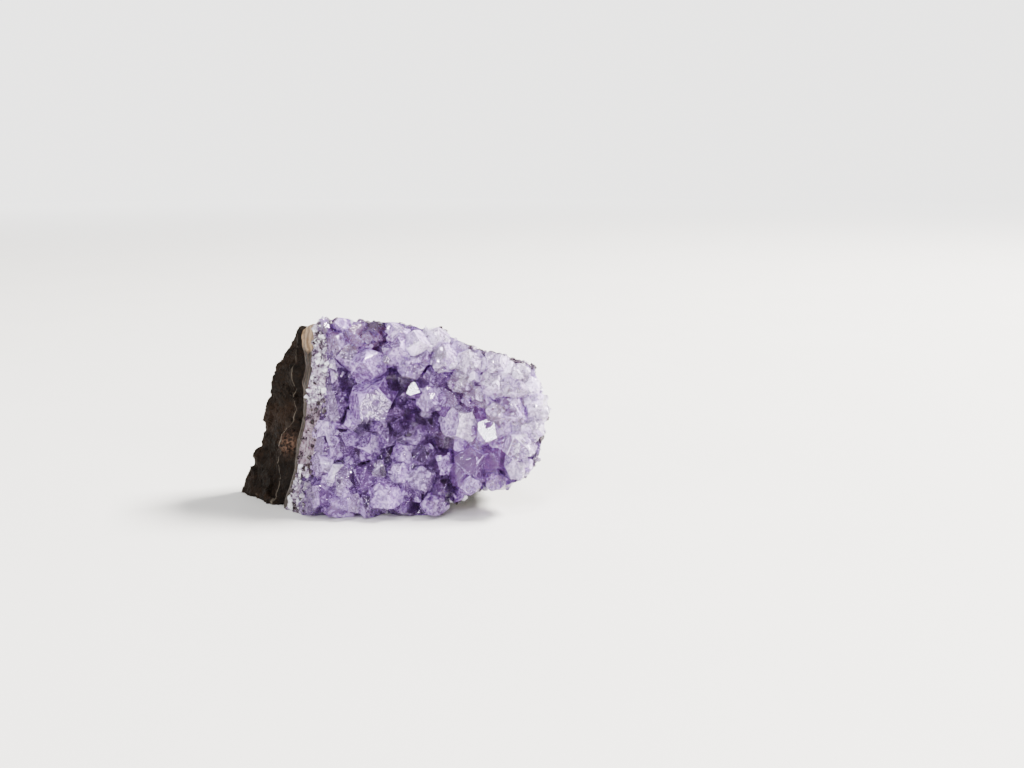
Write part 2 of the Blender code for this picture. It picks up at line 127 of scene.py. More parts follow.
# The CAD's points: tip (x, z), half width, lean to (right, up), tip height, spin. After them come two
# values for the looks, from the photo: how deep the purple is, and how milky the quartz is.
POINTS = [
    (-4.2, 32.4, 3.5, (-0.10, 0.30), 6.6, 10, 0.60, 0.65),
    (-4.6, 21.2, 4.3, (-0.25, -0.42), 7.2, 35, 0.68, 0.60),
    (-10.6, 28.4, 2.7, (0.10, 0.15), 3.4, 0, 0.95, 0.10),
    (-12.2, 36.2, 2.6, (-0.20, 0.35), 4.2, 20, 0.50, 0.50),
    (-13.6, 21.4, 3.4, (-0.35, -0.10), 4.6, 40, 0.75, 0.20),
    (-2.4, 39.0, 2.6, (0.05, 0.60), 4.4, 5, 1.00, 0.00),
    (-2.6, 36.8, 1.9, (0.30, 0.20), 4.6, 50, 0.50, 0.20),
    (3.2, 35.2, 3.1, (0.15, 0.35), 5.6, 15, 0.35, 0.50),
    (7.2, 36.4, 3.0, (0.25, 0.45), 5.4, 45, 0.12, 0.80),
    (4.4, 29.6, 2.7, (-0.30, -0.35), 6.2, 25, 0.45, 0.40),
    (8.2, 32.8, 1.9, (0.35, 0.10), 5.0, 5, 0.65, 0.20),
    (6.2, 26.4, 1.9, (0.25, 0.30), 5.4, 30, 0.70, 0.10),
    (10.2, 23.6, 3.3, (0.20, -0.10), 5.4, 55, 0.50, 0.50),
    (15.2, 28.2, 2.5, (-0.10, 0.20), 5.2, 12, 0.15, 0.20),
    (12.8, 33.2, 2.9, (0.20, 0.40), 4.8, 33, 0.30, 0.50),
    (18.0, 32.4, 2.5, (0.25, 0.40), 4.4, 48, 0.40, 0.40),
    (23.2, 21.4, 2.2, (0.10, 0.05), 6.4, 8, 0.08, 0.15),
    (27.6, 21.2, 3.5, (0.35, 0.05), 5.2, 28, 0.70, 0.30),
    (21.8, 16.8, 2.3, (0.20, -0.25), 6.2, 52, 0.45, 0.30),
    (14.8, 17.4, 3.5, (-0.15, -0.25), 6.4, 18, 0.15, 0.50),
    (30.0, 13.6, 3.3, (0.60, -0.20), 4.8, 42, 0.25, 0.50),
    (18.2, 9.8, 3.2, (0.10, -0.20), 5.6, 3, 0.55, 0.40),
    (23.4, 10.8, 2.9, (0.25, -0.15), 4.2, 36, 0.85, 0.30),
    (3.2, 12.4, 2.9, (-0.10, 0.10), 4.8, 22, 0.60, 0.50),
    (-4.8, 7.2, 3.2, (-0.10, -0.15), 5.6, 47, 0.70, 0.30),
    (-1.4, 9.8, 1.5, (0.05, 0.10), 5.6, 14, 0.20, 0.20),
    (-13.8, 16.2, 3.0, (-0.25, 0.05), 4.0, 31, 0.50, 0.50),
    (-8.2, 14.8, 2.8, (0.05, 0.20), 4.0, 57, 0.65, 0.30),
    (-3.8, 14.6, 2.7, (0.10, 0.15), 3.8, 7, 0.50, 0.50),
    (1.8, 22.6, 2.8, (0.15, 0.30), 3.6, 27, 0.70, 0.15),
    (6.6, 18.8, 2.6, (0.20, 0.10), 3.6, 49, 0.85, 0.10),
    (8.6, 11.6, 2.7, (0.15, -0.10), 5.0, 16, 0.50, 0.20),
    (3.0, 8.2, 2.5, (0.05, -0.10), 5.4, 38, 0.50, 0.50),
    (7.8, 6.4, 2.9, (0.10, -0.25), 5.6, 2, 0.50, 0.40),
    (0.8, 2.8, 3.4, (0.15, -0.45), 5.6, 24, 0.75, 0.45),
    (-14.4, 3.4, 2.6, (-0.25, -0.30), 4.6, 53, 0.65, 0.30),
    (-7.8, 2.6, 2.8, (-0.05, -0.35), 5.0, 11, 0.50, 0.40),
    (12.4, 5.0, 2.4, (0.20, -0.35), 4.6, 34, 0.90, 0.00),
    (23.2, 6.6, 2.0, (0.20, -0.50), 4.6, 56, 0.50, 0.10),
    (28.2, 8.6, 2.2, (0.50, -0.40), 4.0, 19, 0.20, 0.40),
    (28.2, 27.0, 3.0, (0.35, 0.25), 4.2, 41, 0.35, 0.40),
    (22.8, 27.4, 2.8, (0.20, 0.25), 4.4, 6, 0.30, 0.40),
    (18.6, 24.6, 2.5, (0.10, 0.10), 4.8, 29, 0.20, 0.20),
    (20.0, 20.8, 1.9, (0.10, -0.10), 3.8, 51, 0.80, 0.10),
    (12.6, 20.6, 2.0, (0.05, -0.10), 3.2, 13, 0.85, 0.10),
    (-12.5, 29.6, 2.3, (-0.30, 0.10), 3.2, 37, 0.20, 0.50),
    (-14.9, 10.0, 2.7, (-0.35, 0.05), 3.4, 59, 0.45, 0.40),
    (-11.2, 8.4, 2.6, (-0.10, 0.05), 3.8, 21, 0.15, 0.70),
    (1.6, 17.4, 2.4, (0.05, 0.10), 3.2, 43, 0.80, 0.15),
    (-9.8, 23.4, 2.4, (0.05, -0.05), 2.8, 4, 0.75, 0.20),
    (0.6, 26.4, 2.3, (0.15, 0.15), 2.8, 26, 0.90, 0.05),
    (12.2, 28.8, 2.2, (0.15, 0.20), 4.0, 46, 0.70, 0.20),
]
FILL_ACROSS, FILL_UP = (-20.0, 33.0), (0.0, 40.0)
FILL_SIZES = (2.9, 1.5)
FILL_CLOSENESS = 0.6
FILL_TRIES = 3200
END_ANGLE = 38.2
ROOT = 2.0
TRIM_OUT = 0.8
LEFT_TRIM_OUT = 0.15
LEFT_RIM = -12.5
TOP_RIM = 38.5  # the edge above this is straight, and is trimmed as far as the left one is
FOOT_NORMAL = -0.9
TRIM_REACH = 6.0

# How fine the layers are here
AROUND = 300
CRUST_AROUND = 108
FILL_SHARES = (0.45, 0.75, 0.9, 0.97)
SIDE_RINGS = 52
REAR_RINGS = 34
RIND_RINGS = 11
CRUST_SHARES = (0.0, 0.25, 0.5, 0.75, 1.0)
CRUST_NEAR_SHARES = (0.4, 0.8)
ROCK_MESH = 0.42  # the size of the basalt's faces
FOOT_LEVEL = 0.3  # what is lower than this on the basalt lies on the shelf

# Relief of the basalt and the rind: each one's height, how many to a millimetre, and a seed
CHIPS = ((1.4, 0.15, 5.0), (0.5, 0.4, 9.0), (0.12, 1.1, 13.0))
GRIT = ((0.12, 1.6, 51.0), (0.09, 3.3, 53.0))
RIND_GRIT = ((0.10, 1.3, 33.0), (0.05, 3.0, 35.0))
PIT_DEPTH, PIT_REACH, PIT_SCALE = 0.5, 0.28, 0.62
PIT_SHIFT = (7.0, 3.0, 9.0)

# The pale ledge on the left side: at each height, how far along the basalt's side it runs
LEDGE_LINE = [
    (0.0, 0.24), (6.0, 0.30), (12.0, 0.33), (18.0, 0.22), (22.0, 0.28), (26.0, 0.16), (33.0, 0.34),
]
LEDGE_WIDTH = 0.011
BEFORE_LEDGE, FAR_PAST_LEDGE = -10.0, 50.0  # in these widths, for what isn't on the side
FUZZ_AT = (-21.5, 12.8, 12.8)  # a patch of brown crust beside that ledge
FUZZ_SPREAD = 2.2

# How far the edges of a point are worn: that of the finest, and what its half width adds
EDGE_WEAR = (0.010, 0.010)
EDGE_PAINTED_HIGHLIGHT = 0.10  # how much less purple and more milky a worn edge's faces are painted: a painted highlight along each edge

# Points of the list with a smooth facet that mirrors the front light: how far below the tip it cuts
MIRROR_FACETS = {11: 0.95, 18: 0.9}

# Points of the list whose facets are smooth, and how smooth at least
SMOOTH_POINTS = {0: 0.75, 1: 0.8, 12: 0.5}

# Small points that grew between and on the larger ones
SMALL_TRIES = 7000
SMALL_ACROSS, SMALL_UP = (-20.0, 34.0), (0.2, 40.6)
SMALL_SIZES = (0.32, 1.2)
MIRROR_CLEAR = 2.2  # how near to a mirroring facet none of them grows
SMALL_ROOT = 1.6
SMALL_TRIM_IN = 0.7

# Crumbs of broken quartz along the break
CRUMB_TRIES = 5600
CRUMB_FLATS = 7
CRUMB_SIZES = (0.14, 0.74)
CRUMB_REACH = 0.8
SUGARY_ABOVE = 23.0  # on the left side the crumbs are white above this height
SUGARY_BELOW = 8.5  # and below this one
OTHER_SUGAR = 0.75  # how white they are on the other sides

# What each kind of thing draws its random numbers from
LARGE_SEED, TONE_SEED, SMALL_SEED, CRUMB_SEED = 8, 21, 34, 55

AMETHYST_FACE, BROKEN_FACE, CUT_FACE = 0, 1, 2
GROWN, RIM, MIRROR = 0, 1, 2

# The camera stands where the photo was taken from
CAMERA_AT = (0.0263, -0.2548, 0.0764)
CAMERA_DOWN = 11.31
CAMERA_LENS = 42.19
SENSOR = 36.0

# Soft lights: where each is, its width and height, watts and colour, and what they all point at
LIGHTS = {
    "key": ((1.00, 0.30, 1.20), (0.52, 0.38), 90.0, (1.0, 0.97, 0.93)),
    "front": ((-0.45, -1.50, 1.25), (0.45, 0.32), 17.0, (0.95, 0.97, 1.0)),
    "left_strip": ((-1.20, -0.90, 0.60), (0.10, 0.45), 2.0, (0.95, 0.97, 1.0)),
    "right_strip": ((1.20, -1.10, 0.45), (0.12, 0.55), 6.0, (1.0, 0.98, 0.95)),
    "low_front": ((0.35, -1.60, 0.30), (0.35, 0.12), 3.0, (1.0, 0.98, 0.95)),
    "top": ((0.05, -0.35, 1.60), (0.30, 0.30), 8.0, (1.0, 1.0, 1.0)),
}
LIT_POINT = (0.0, 0.0, 0.018)

# A pale sweep all round the piece, and the dimmer room above it
SWEEP_COLOUR = (1.0, 0.99, 0.975)
SWEEP_GLOW, ABOVE_GLOW = 2.0, 0.2
SWEEP_FROM, SWEEP_TO = 0.35, 1.5  # metres from the piece over which the floor turns into the sweep
FLOOR_HALF = 8.0


def smooth_step(value, low, high):
    share = min(1.0, max(0.0, (value - low) / (high - low)))
    return share * share * (3.0 - 2.0 * share)


def lumps(point, scale, seed):
    """Smooth noise from -1 to 1, in lumps of about 1 / scale."""
    return noise.noise(Vector(point) * scale + Vector((seed, 2.0 * seed, -seed)))


def gritty(point, parts):
    return sum(height * lumps(point, scale, seed) for height, scale, seed in parts)


# Meshes


def put_in_scene(name, data, at=(0.0, 0.0, 0.0)):
    obj = bpy.data.objects.new(name, data)
    obj.location = at
    bpy.context.scene.collection.objects.link(obj)
    return obj


def add_object(name, points, faces):
    """An object with its faces outward, from points in millimetres about the foot's middle."""
    mesh = bpy.data.meshes.new(name)
    mesh.from_pydata(((np.asarray(points) - CENTRE) * MM).tolist(), [], faces)
    shape = bmesh.new()
    shape.from_mesh(mesh)
    if shape.calc_volume(signed=True) < 0.0:
        bmesh.ops.reverse_faces(shape, faces=shape.faces)
    shape.to_mesh(mesh)
    shape.free()
    return put_in_scene(name, mesh)


def set_values(mesh, name, domain, values):
    attribute = mesh.attributes.get(name) or mesh.attributes.new(name, "FLOAT", domain)
    attribute.data.foreach_set("value", np.asarray(values, np.float32))


def vectors_of(mesh, name):
    """A value of each vertex that has three numbers, as rows of an array."""
    flat = np.empty(len(mesh.vertices) * 3, np.float32)
    mesh.vertices.foreach_get(name, flat)
    return flat.reshape(-1, 3).astype(float)


def points_of(mesh):
    """The mesh's points in millimetres."""
    return vectors_of(mesh, "co") / MM + CENTRE


def set_points(mesh, points):
    mesh.vertices.foreach_set("co", ((points - CENTRE) * MM).astype(np.float32).ravel())
    mesh.update()


def apply_modifiers(obj):
    graph = bpy.context.evaluated_depsgraph_get()
    made = bpy.data.meshes.new_from_object(obj.evaluated_get(graph))
    obj.modifiers.clear()
    obj.data = made


def mesh_evenly(obj, size, values):
    """Gives the object even faces of that size, and values by name read off its old faces."""
    corners = points_of(obj.data)
    faces = [tuple(face.vertices) for face in obj.data.polygons]
    skin = BVHTree.FromPolygons(corners.tolist(), faces)
    even = obj.modifiers.new("even faces", "REMESH")
    even.mode = "VOXEL"
    even.voxel_size = size * MM
    apply_modifiers(obj)
    read = {name: [] for name in values}
    for point in points_of(obj.data):
        at, _, face, _ = skin.find_nearest(Vector(point))
        shares = poly_3d_calc([Vector(corners[v]) for v in faces[face]], at)
        for name, numbers in values.items():
            read[name].append(sum(share * numbers[v] for share, v in zip(shares, faces[face])))
    for name, numbers in read.items():
        set_values(obj.data, name, "POINT", numbers)


def add_solid(corners, faces, more_corners, more_faces):
    """Adds a solid's corners and faces to the lists of all of them."""
    faces.extend([v + len(corners) for v in face] for face in more_faces)
    corners.extend(more_corners.tolist())


# The layers' shapes, as in the CAD


def ring_of_outline(count):
    corners = np.array([front + back for front, back in OUTLINE])
    closed = np.vstack([corners, corners[:1]])
    steps = np.linalg.norm(np.diff(closed[:, :2], axis=0), axis=1)
    along = np.concatenate([[0.0], np.cumsum(steps)])
    at = np.linspace(0.0, along[-1], count, endpoint=False)
    spaced = np.stack([np.interp(at, along, closed[:, k]) for k in range(5)], axis=1)
    return spaced[:, :2], spaced[:, 2:]


def face_y(x, z):
    """How far back the crust's base is at (x, z)."""
    across = ((x - FACE_MIDDLE[0]) / BOWL_REACH[0]) ** 2 + ((z - FACE_MIDDLE[1]) / BOWL_REACH[1]) ** 2
    return FACE_START + FACE_LEAN * z + BOWL_DEPTH * np.clip(1.0 - across, 0.0, 1.0)


def layer_y(x, z, depth):
    """How far back the boundary at that depth is, with its ripple."""
    return face_y(x, z) + depth + RIPPLE * np.sin(0.55 * x + 0.8) * np.cos(0.47 * z - 0.4)


def crust_front(x, z):
    return np.zeros_like(x)


def crust_back(x, z):
    return np.full_like(x, CRUST_BASE + LAYER_GAP / 2)


def rind_front(x, z):
    return crust_back(x, z) - SEAM


def rind_back(x, z):
    away = ((x - CORNER_AT[0]) ** 2 + (z - CORNER_AT[1]) ** 2) / CORNER_SPREAD**2
    return crust_back(x, z) + RIND + LAYER_GAP + RIND_CORNER * np.exp(-(away**2))


def basalt_front(x, z):
    return rind_back(x, z) - SEAM


def ring_at_depth(front, back, depth):
    """The ring where the break meets the boundary at that depth, found by halving."""
    start = np.column_stack([front[:, 0], layer_y(front[:, 0], front[:, 1], 0.0), front[:, 1]])
    low = np.zeros(len(front))
    high = np.ones(len(front))
    for _ in range(24):
        middle = (low + high) / 2
        at = start + (back - start) * middle[:, None]
        behind = at[:, 1] > layer_y(at[:, 0], at[:, 2], depth(at[:, 0], at[:, 2]))
        high = np.where(behind, middle, high)
        low = np.where(behind, low, middle)
    return start + (back - start) * middle[:, None]


def outward(ring, front, back):
    """Unit vectors out of the break at each ring point."""
    around = np.roll(ring, -1, axis=0) - np.roll(ring, 1, axis=0)
    inward_run = back - np.column_stack([front[:, 0], face_y(front[:, 0], front[:, 1]), front[:, 1]])
    out = np.cross(inward_run, around)
    out /= np.linalg.norm(out, axis=1)[:, None]
    return out


def wall(front, back, shallow, deep, shares):
    """Rings along the break between two depths, or on to its far end."""
    first = ring_at_depth(front, back, shallow)
    last = back if deep is None else ring_at_depth(front, back, deep)
    return [first + share * (last - first) for share in shares]


def cap(ring, depth, shares):
    """Rings that fill the ring with the boundary at that depth, and the point in its middle."""
    made = []
    for share in (0.0, *shares):
        x = FACE_MIDDLE[0] + share * (ring[:, 0] - FACE_MIDDLE[0])
        z = FACE_MIDDLE[1] + share * (ring[:, 2] - FACE_MIDDLE[1])
        made.append(np.column_stack([x, layer_y(x, z, depth(x, z)), z]))
    return made[1:], made[0][0]


def closed_stack(first, rings, last):
    """Points and faces of the closed skin through the rings, from one pole to the other."""
    points = np.vstack([first[None, :], *rings, last[None, :]])
    count, end = len(rings[0]), len(points) - 1
    runs = [(k, (k + 1) % count) for k in range(count)]
    starts = range(1, end, count)
    faces = [(0, 1 + k, 1 + after) for k, after in runs]
    for here, there in zip(starts, starts[1:]):
        faces += [(here + k, there + k, there + after, here + after) for k, after in runs]
    faces += [(end, starts[-1] + after, starts[-1] + k) for k, after in runs]
    return points, faces


def flatten_foot(points):
    low = points[:, 2] < FOOT_FLAT
    points[low, 2] = 0.0
    return points


def kept_between(points, shallow=None, deep=None):
    """Holds points to the space between two depths."""
    x, y, z = points.T
    if shallow is not None:
        y = np.maximum(y, layer_y(x, z, shallow(x, z)))
    if deep is not None:
        y = np.minimum(y, layer_y(x, z, deep(x, z)))
    return np.column_stack([x, y, z])


def layer_skin(count, shares, depths, near_shares, relief):
    """Points and faces of the layer between two depths, with relief on the break."""
    front, back = ring_of_outline(count)
    sides = wall(front, back, *depths, shares)
    out = outward(sides[0], front, back)
    for share, ring in zip(shares, sides):
        for k in range(len(ring)):
            ring[k] += out[k] * relief(ring[k], share)
    near, first = cap(ring_at_depth(front, back, depths[0]), depths[0], near_shares)
    far, last = cap(ring_at_depth(front, back, depths[1]), depths[1], FILL_SHARES)
    points, faces = closed_stack(first, near + sides + far[::-1], last)
    return flatten_foot(points), faces


# The basalt and the rind


def cut_flat(points, inside):
    """Moves what is past a flat fracture back onto it."""
    for corners in np.array(FRACTURES):
        normal = np.cross(corners[1] - corners[0], corners[2] - corners[0])
        normal /= np.linalg.norm(normal)
        if normal @ (corners[0] - inside) < 0.0:
            normal = -normal
        past = (points - corners[0]) @ normal
        points = points - np.maximum(past, 0.0)[:, None] * normal
    return points


def rock_relief(point):
    ledges = 0.5 * math.tanh(5.0 * lumps(point, 0.2, 11.0))
    relief = lumps(point, 0.09, 3.0) + ledges + 0.4 * lumps(point, 0.42, 23.0)
    return 0.25 * relief if point[2] < 1.2 else relief


def ledge_at(point):
    """How far along the basalt's side the ledge runs at that point."""
    heights, shares = zip(*LEDGE_LINE)
    return float(np.interp(point[2], heights, shares)) + 0.03 * lumps(point, 0.45, 61.0)


def groove(share, ledge):
    """The sunk strip of basalt beside the rind, and the low ledge that ends it."""
    sunk = GROOVE_DEPTH * max(0.0, 1.0 - share / (0.85 * ledge)) ** 0.7
    return LEDGE_HEIGHT * math.exp(-(((share - ledge) / 0.03) ** 2)) - sunk


def chipped(point, scale, seed):
    """Flat facets that meet in sharp edges, each with a tilt and a height of its own."""
    at = Vector(point) * scale + Vector((seed, -seed, 2.0 * seed))
    at += 0.4 * noise.noise_vector(at * 0.8)
    _, seeds = noise.voronoi(at)
    return 0.7 * noise.noise(seeds[0] * 3.7) + noise.noise_vector(seeds[0] * 5.3).dot(at - seeds[0])


def rock_grain(point):
    """The finer relief of broken basalt: chips of three sizes, grit and a few small round pits."""
    chips = sum(height * chipped(point, scale, seed) for height, scale, seed in CHIPS)
    near, _ = noise.voronoi(Vector(point) * PIT_SCALE + Vector(PIT_SHIFT))
    pit = PIT_DEPTH * max(0.0, 1.0 - near[0] / PIT_REACH) ** 0.5
    return chips + gritty(point, GRIT) - pit


def make_basalt():
    front, back = ring_of_outline(AROUND)
    shares = np.linspace(0.0, 1.0, SIDE_RINGS) ** 1.15
    sides = wall(front, back, basalt_front, None, shares)
    out = outward(sides[0], front, back)
    past_ledge = [BEFORE_LEDGE] * (1 + len(FILL_SHARES) * AROUND)
    for share, ring in zip(shares, sides):
        for k in range(len(ring)):
            edge = ledge_at(ring[k])
            relief = rock_relief(ring[k]) * min(1.0, 0.25 + 3.0 * share)
            ring[k] += out[k] * (relief + groove(share, edge))
            past_ledge.append((share - edge) / LEDGE_WIDTH)
    inner, pole = cap(ring_at_depth(front, back, rind_back), basalt_front, FILL_SHARES)
    rear = []
    for share in np.linspace(0.975, 0.03, REAR_RINGS):
        rim = back + share**6 * (sides[-1] - back)
        ring = BACK_MIDDLE + share * (rim - BACK_MIDDLE)
        for k in range(len(ring)):
            ring[k, 1] += BACK_BULGE * (1.0 - share) + 0.6 * rock_relief(ring[k])
        rear.append(ring)
    end = np.array(BACK_MIDDLE) + (0.0, BACK_BULGE, 0.0)
    points, faces = closed_stack(pole, inner + sides + rear, end)
    points = cut_flat(points, BACK_MIDDLE)
    for point in points:
        if point[1] > BACK_START:
            point += BACK_ROUGHNESS * noise.noise_vector(Vector(point) * 0.5)
    obj = add_object("basalt", kept_between(flatten_foot(points), basalt_front), faces)
    past_ledge += [FAR_PAST_LEDGE] * (len(points) - len(past_ledge))
    mesh_evenly(obj, ROCK_MESH, {"past_ledge": past_ledge})
    smooth = points_of(obj.data)
    grain = np.array([rock_grain(point) for point in smooth])
    # The side starts level with the rind, and the foot stays flat.
    x, y, z = smooth.T
    behind = y - layer_y(x, z, basalt_front(x, z))
    grain *= [smooth_step(gap, 0.1, 1.6) for gap in behind]
    roughened = smooth + vectors_of(obj.data, "normal") * grain[:, None]
    roughened[smooth[:, 2] < FOOT_LEVEL, 2] = 0.0
    roughened[:, 2] = np.maximum(roughened[:, 2], 0.0)
    set_points(obj.data, kept_between(roughened, basalt_front))
    fuzz = np.exp(-((np.linalg.norm(smooth - FUZZ_AT, axis=1) / FUZZ_SPREAD) ** 2))
    set_values(obj.data, "fuzz", "POINT", fuzz)
    return obj


def rind_relief(point, share):
    """The rind's broken edge: a little sunk, and rounded from its front to its back."""
    rounded = 0.22 * (1.0 - (2.0 * share - 1.0) ** 2)
    return 0.25 * lumps(point, 0.5, 31.0) - 0.2 + rounded + gritty(point, RIND_GRIT)


def make_rind():
    shares = np.linspace(0.0, 1.0, RIND_RINGS)
    depths = (rind_front, rind_back)
    points, faces = layer_skin(AROUND, shares, depths, FILL_SHARES, rind_relief)
    obj = add_object("chalcedony", kept_between(points, *depths), faces)
    across = [0.0] * (1 + len(FILL_SHARES) * AROUND)
    for share in shares:
        across += [share] * AROUND
    across += [1.0] * (len(points) - len(across))
    set_values(obj.data, "across", "POINT", across)
    return obj


# The amethyst crust


def solid_of_planes(planes):
    """Corners, and each plane's flat face, of the solid inside all the planes."""
    normals, distances = planes[:, :3], planes[:, 3]
    triples = np.array(list(itertools.combinations(range(len(planes)), 3)))
    sets = normals[triples]
    sound = np.abs(np.linalg.det(sets)) > 1e-6
    found = np.linalg.solve(sets[sound], distances[triples[sound]][:, :, None])[:, :, 0]
    kept = found[(found @ normals.T <= distances + 1e-6).all(axis=1)]
    corners = np.unique(np.round(kept, 5), axis=0)
    faces, sources = [], []
    for source, (normal, distance) in enumerate(zip(normals, distances)):
        on = np.flatnonzero(np.abs(corners @ normal - distance) < 1e-4)
        if len(on) < 3:
            continue
        side = np.cross(normal, (0.31, 0.59, 0.74))
        other = np.cross(normal, side)
        spread = corners[on] - corners[on].mean(axis=0)
        turn = np.argsort(np.arctan2(spread @ other, spread @ side))
        faces.append([int(v) for v in on[turn]])
        sources.append(source)
    return corners, faces, sources


def break_runs():
    """The straight runs of the break round the crust: two ends (x, z), and the plane they lie in."""
    corners = np.array([(x, face_y(x, z), z) for (x, z), _ in OUTLINE])
    ends = np.array([end for _, end in OUTLINE])
    runs = []
    for k in range(len(corners)):
        after = (k + 1) % len(corners)
        inward = (ends[k] - corners[k]) + (ends[after] - corners[after])
        normal = np.cross(inward, corners[after] - corners[k])
        normal /= np.linalg.norm(normal)
        on_left = max(corners[k][0], corners[after][0]) < LEFT_RIM
        on_top = min(corners[k][2], corners[after][2]) > TOP_RIM
        past = LEFT_TRIM_OUT if on_left or on_top else TRIM_OUT
        if normal[2] > FOOT_NORMAL:
            plane = (*normal, normal @ corners[k] + past)
            runs.append((corners[k][[0, 2]], corners[after][[0, 2]], plane))
    return runs


def nearby_breaks(runs, x, z):
    planes = [(0.0, 0.0, -1.0, 0.0)]
    for start, end, plane in runs:
        along = end - start
        share = np.clip((np.array((x, z)) - start) @ along / (along @ along), 0.0, 1.0)
        if math.dist((x, z), start + share * along) < TRIM_REACH:
            planes.append(plane)
    return planes


def worn_edges(flanks, ends, wear):
    """Planes that take a little off each edge of a quartz point."""
    pairs = [(flanks[k], flanks[(k + 1) % 6]) for k in range(6)]
    pairs += [(ends[k], ends[(k + 1) % 6]) for k in range(6)]
    pairs += list(zip(flanks, ends))
    made = []
    for one, other in pairs:
        normal = one[:3] + other[:3]
        length = np.linalg.norm(normal)
        made.append((*(normal / length), (one[3] + other[3]) / length - wear))
    return made


def is_closed(faces):
    """Whether each edge is passed once each way, as on a sound solid."""
    runs = [(face[k - 1], face[k]) for face in faces for k in range(len(face))]
    return len(runs) == len(set(runs)) and all((end, start) in set(runs) for start, end in runs)


def quartz_point(tip, axis, half_width, root, spin, trims, rng, mirror=None):
    """A six-sided quartz point, or None: its corners and faces, and each face's kind and role."""
    axis = np.array(axis) / np.linalg.norm(axis)
    side = np.cross(axis, (0.0, 0.0, 1.0))
    side /= np.linalg.norm(side)
    other = np.cross(axis, side)
    end_tilt = math.radians(90.0 - END_ANGLE)
    flanks, ends = [], []
    for k in range(6):
        turn = math.radians(spin + 60.0 * k)
        flank = math.cos(turn) * side + math.sin(turn) * other
        flanks.append(np.array((*flank, flank @ tip + half_width * rng.uniform(0.86, 1.14))))
        end = math.cos(end_tilt) * axis + math.sin(end_tilt) * flank
        set_back = rng.uniform(0.0, 0.12) if k % 2 else rng.uniform(0.12, 0.45)
        ends.append(np.array((*end, end @ tip + half_width * set_back)))
    wear = EDGE_WEAR[0] + EDGE_WEAR[1] * half_width
    for rims in (worn_edges(flanks, ends, wear), []):
        grown = flanks + ends + rims + ([mirror] if mirror else [])
        roles = [GROWN] * 12 + [RIM] * len(rims) + ([MIRROR] if mirror else [])
        roles += [GROWN] * (1 + len(trims))
        planes = np.vstack([grown, [root], trims])
        corners, faces, sources = solid_of_planes(planes)
        if len(faces) > 4 and is_closed(faces):
            kinds = [CUT_FACE if source > len(grown) else AMETHYST_FACE for source in sources]
            return corners, faces, kinds, [roles[source] for source in sources]
    return None


def mirror_plane(tip, below):
    """A plane just below the tip that mirrors the front light to the camera."""
    at = (tip - CENTRE) * MM
    to_camera = (np.array(CAMERA_AT) - at) / math.dist(CAMERA_AT, at)
    to_light = (np.array(LIGHTS["front"][0]) - at) / math.dist(LIGHTS["front"][0], at)
    normal = (to_camera + to_light) / np.linalg.norm(to_camera + to_light)
    return (*normal, normal @ tip - below)


def inside_outline(x, z):
    corners = np.array([front for front, _ in OUTLINE])
    after = np.roll(corners, -1, axis=0)
    spans = (corners[:, 1] > z) != (after[:, 1] > z)
    at = corners[:, 0] + (z - corners[:, 1]) * (after[:, 0] - corners[:, 0]) / (
        after[:, 1] - corners[:, 1] + 1e-12
    )
    return bool((spans & (x < at)).sum() % 2)


def painted_light_and_fine_grain(x, z):
    """From 0 to 1, how much painted light pales the purple towards the top right and the right edge;
    small points also grow thicker there.
    """
    return max(smooth_step(x + 1.1 * z, 38.0, 54.0), 0.8 * smooth_step(x, 25.0, 32.0))


def spread_out(x, z, share):
    """How far a point there leans to the right and up, away from the middle of the face."""
    right = share * (x - FACE_MIDDLE[0]) / BOWL_REACH[0]
    return right, share * (z - FACE_MIDDLE[1]) / BOWL_REACH[1]


def fill_points(rng):
    """Smaller points wherever there is room for one, largest first, as in POINTS."""
    made = []
    for k in range(FILL_TRIES):
        size = FILL_SIZES[0] + (FILL_SIZES[1] - FILL_SIZES[0]) * k / FILL_TRIES
        x, z = rng.uniform(*FILL_ACROSS), rng.uniform(*FILL_UP)
        lean = [along + rng.uniform(-0.35, 0.35) for along in spread_out(x, z, 0.5)]
        height, spin = size * rng.uniform(1.0, 1.5), rng.uniform(0.0, 60.0)
        crowded = any(
            math.dist((x, z), other[:2]) < FILL_CLOSENESS * (size + other[2])
            for other in POINTS + made
        )
        if not crowded and inside_outline(x, z):
            made.append((x, z, size, lean, height, spin))
    return made


def tone_of(x, z, rng):
    """A purple and a milkiness for a point that has none of its own."""
    # Painted light from the upper right pales the purple and makes the point milkier.
    pale = painted_light_and_fine_grain(x, z)
    purple = rng.uniform(0.35, 0.95) * (1.0 - 0.8 * pale)
    return purple, rng.uniform(0.05, 0.55) + 0.3 * pale


class Crystal:
    """One quartz point before it is joined to the rest, with the values that its looks read."""

    def __init__(self, made, purple, milky, rng, smooth=0.0):
        self.corners, self.faces, self.kinds, roles = made
        self.tone = (purple, milky)
        self.purple, self.milky, self.plain = [], [], []
        for role in roles:
            turn, cloud, plain = rng.uniform(-0.2, 0.2), rng.uniform(-0.28, 0.28), rng.random() ** 2
            # Worn edge faces are painted paler and milkier, a painted highlight along the edge.
            if role == RIM:
                values = (purple - EDGE_PAINTED_HIGHLIGHT, milky + EDGE_PAINTED_HIGHLIGHT, 0.7)
            # A mirroring facet is also painted the palest purple, a painted highlight on top of the
            # light it really mirrors.
            elif role == MIRROR:
                values = (0.0, 0.3, 1.0)
            else:
                values = (purple + turn, milky + cloud, max(smooth, plain))
            self.purple.append(values[0])
            self.milky.append(values[1])
            self.plain.append(values[2])
        self.low = self.corners.min(axis=0)
        self.high = self.corners.max(axis=0)


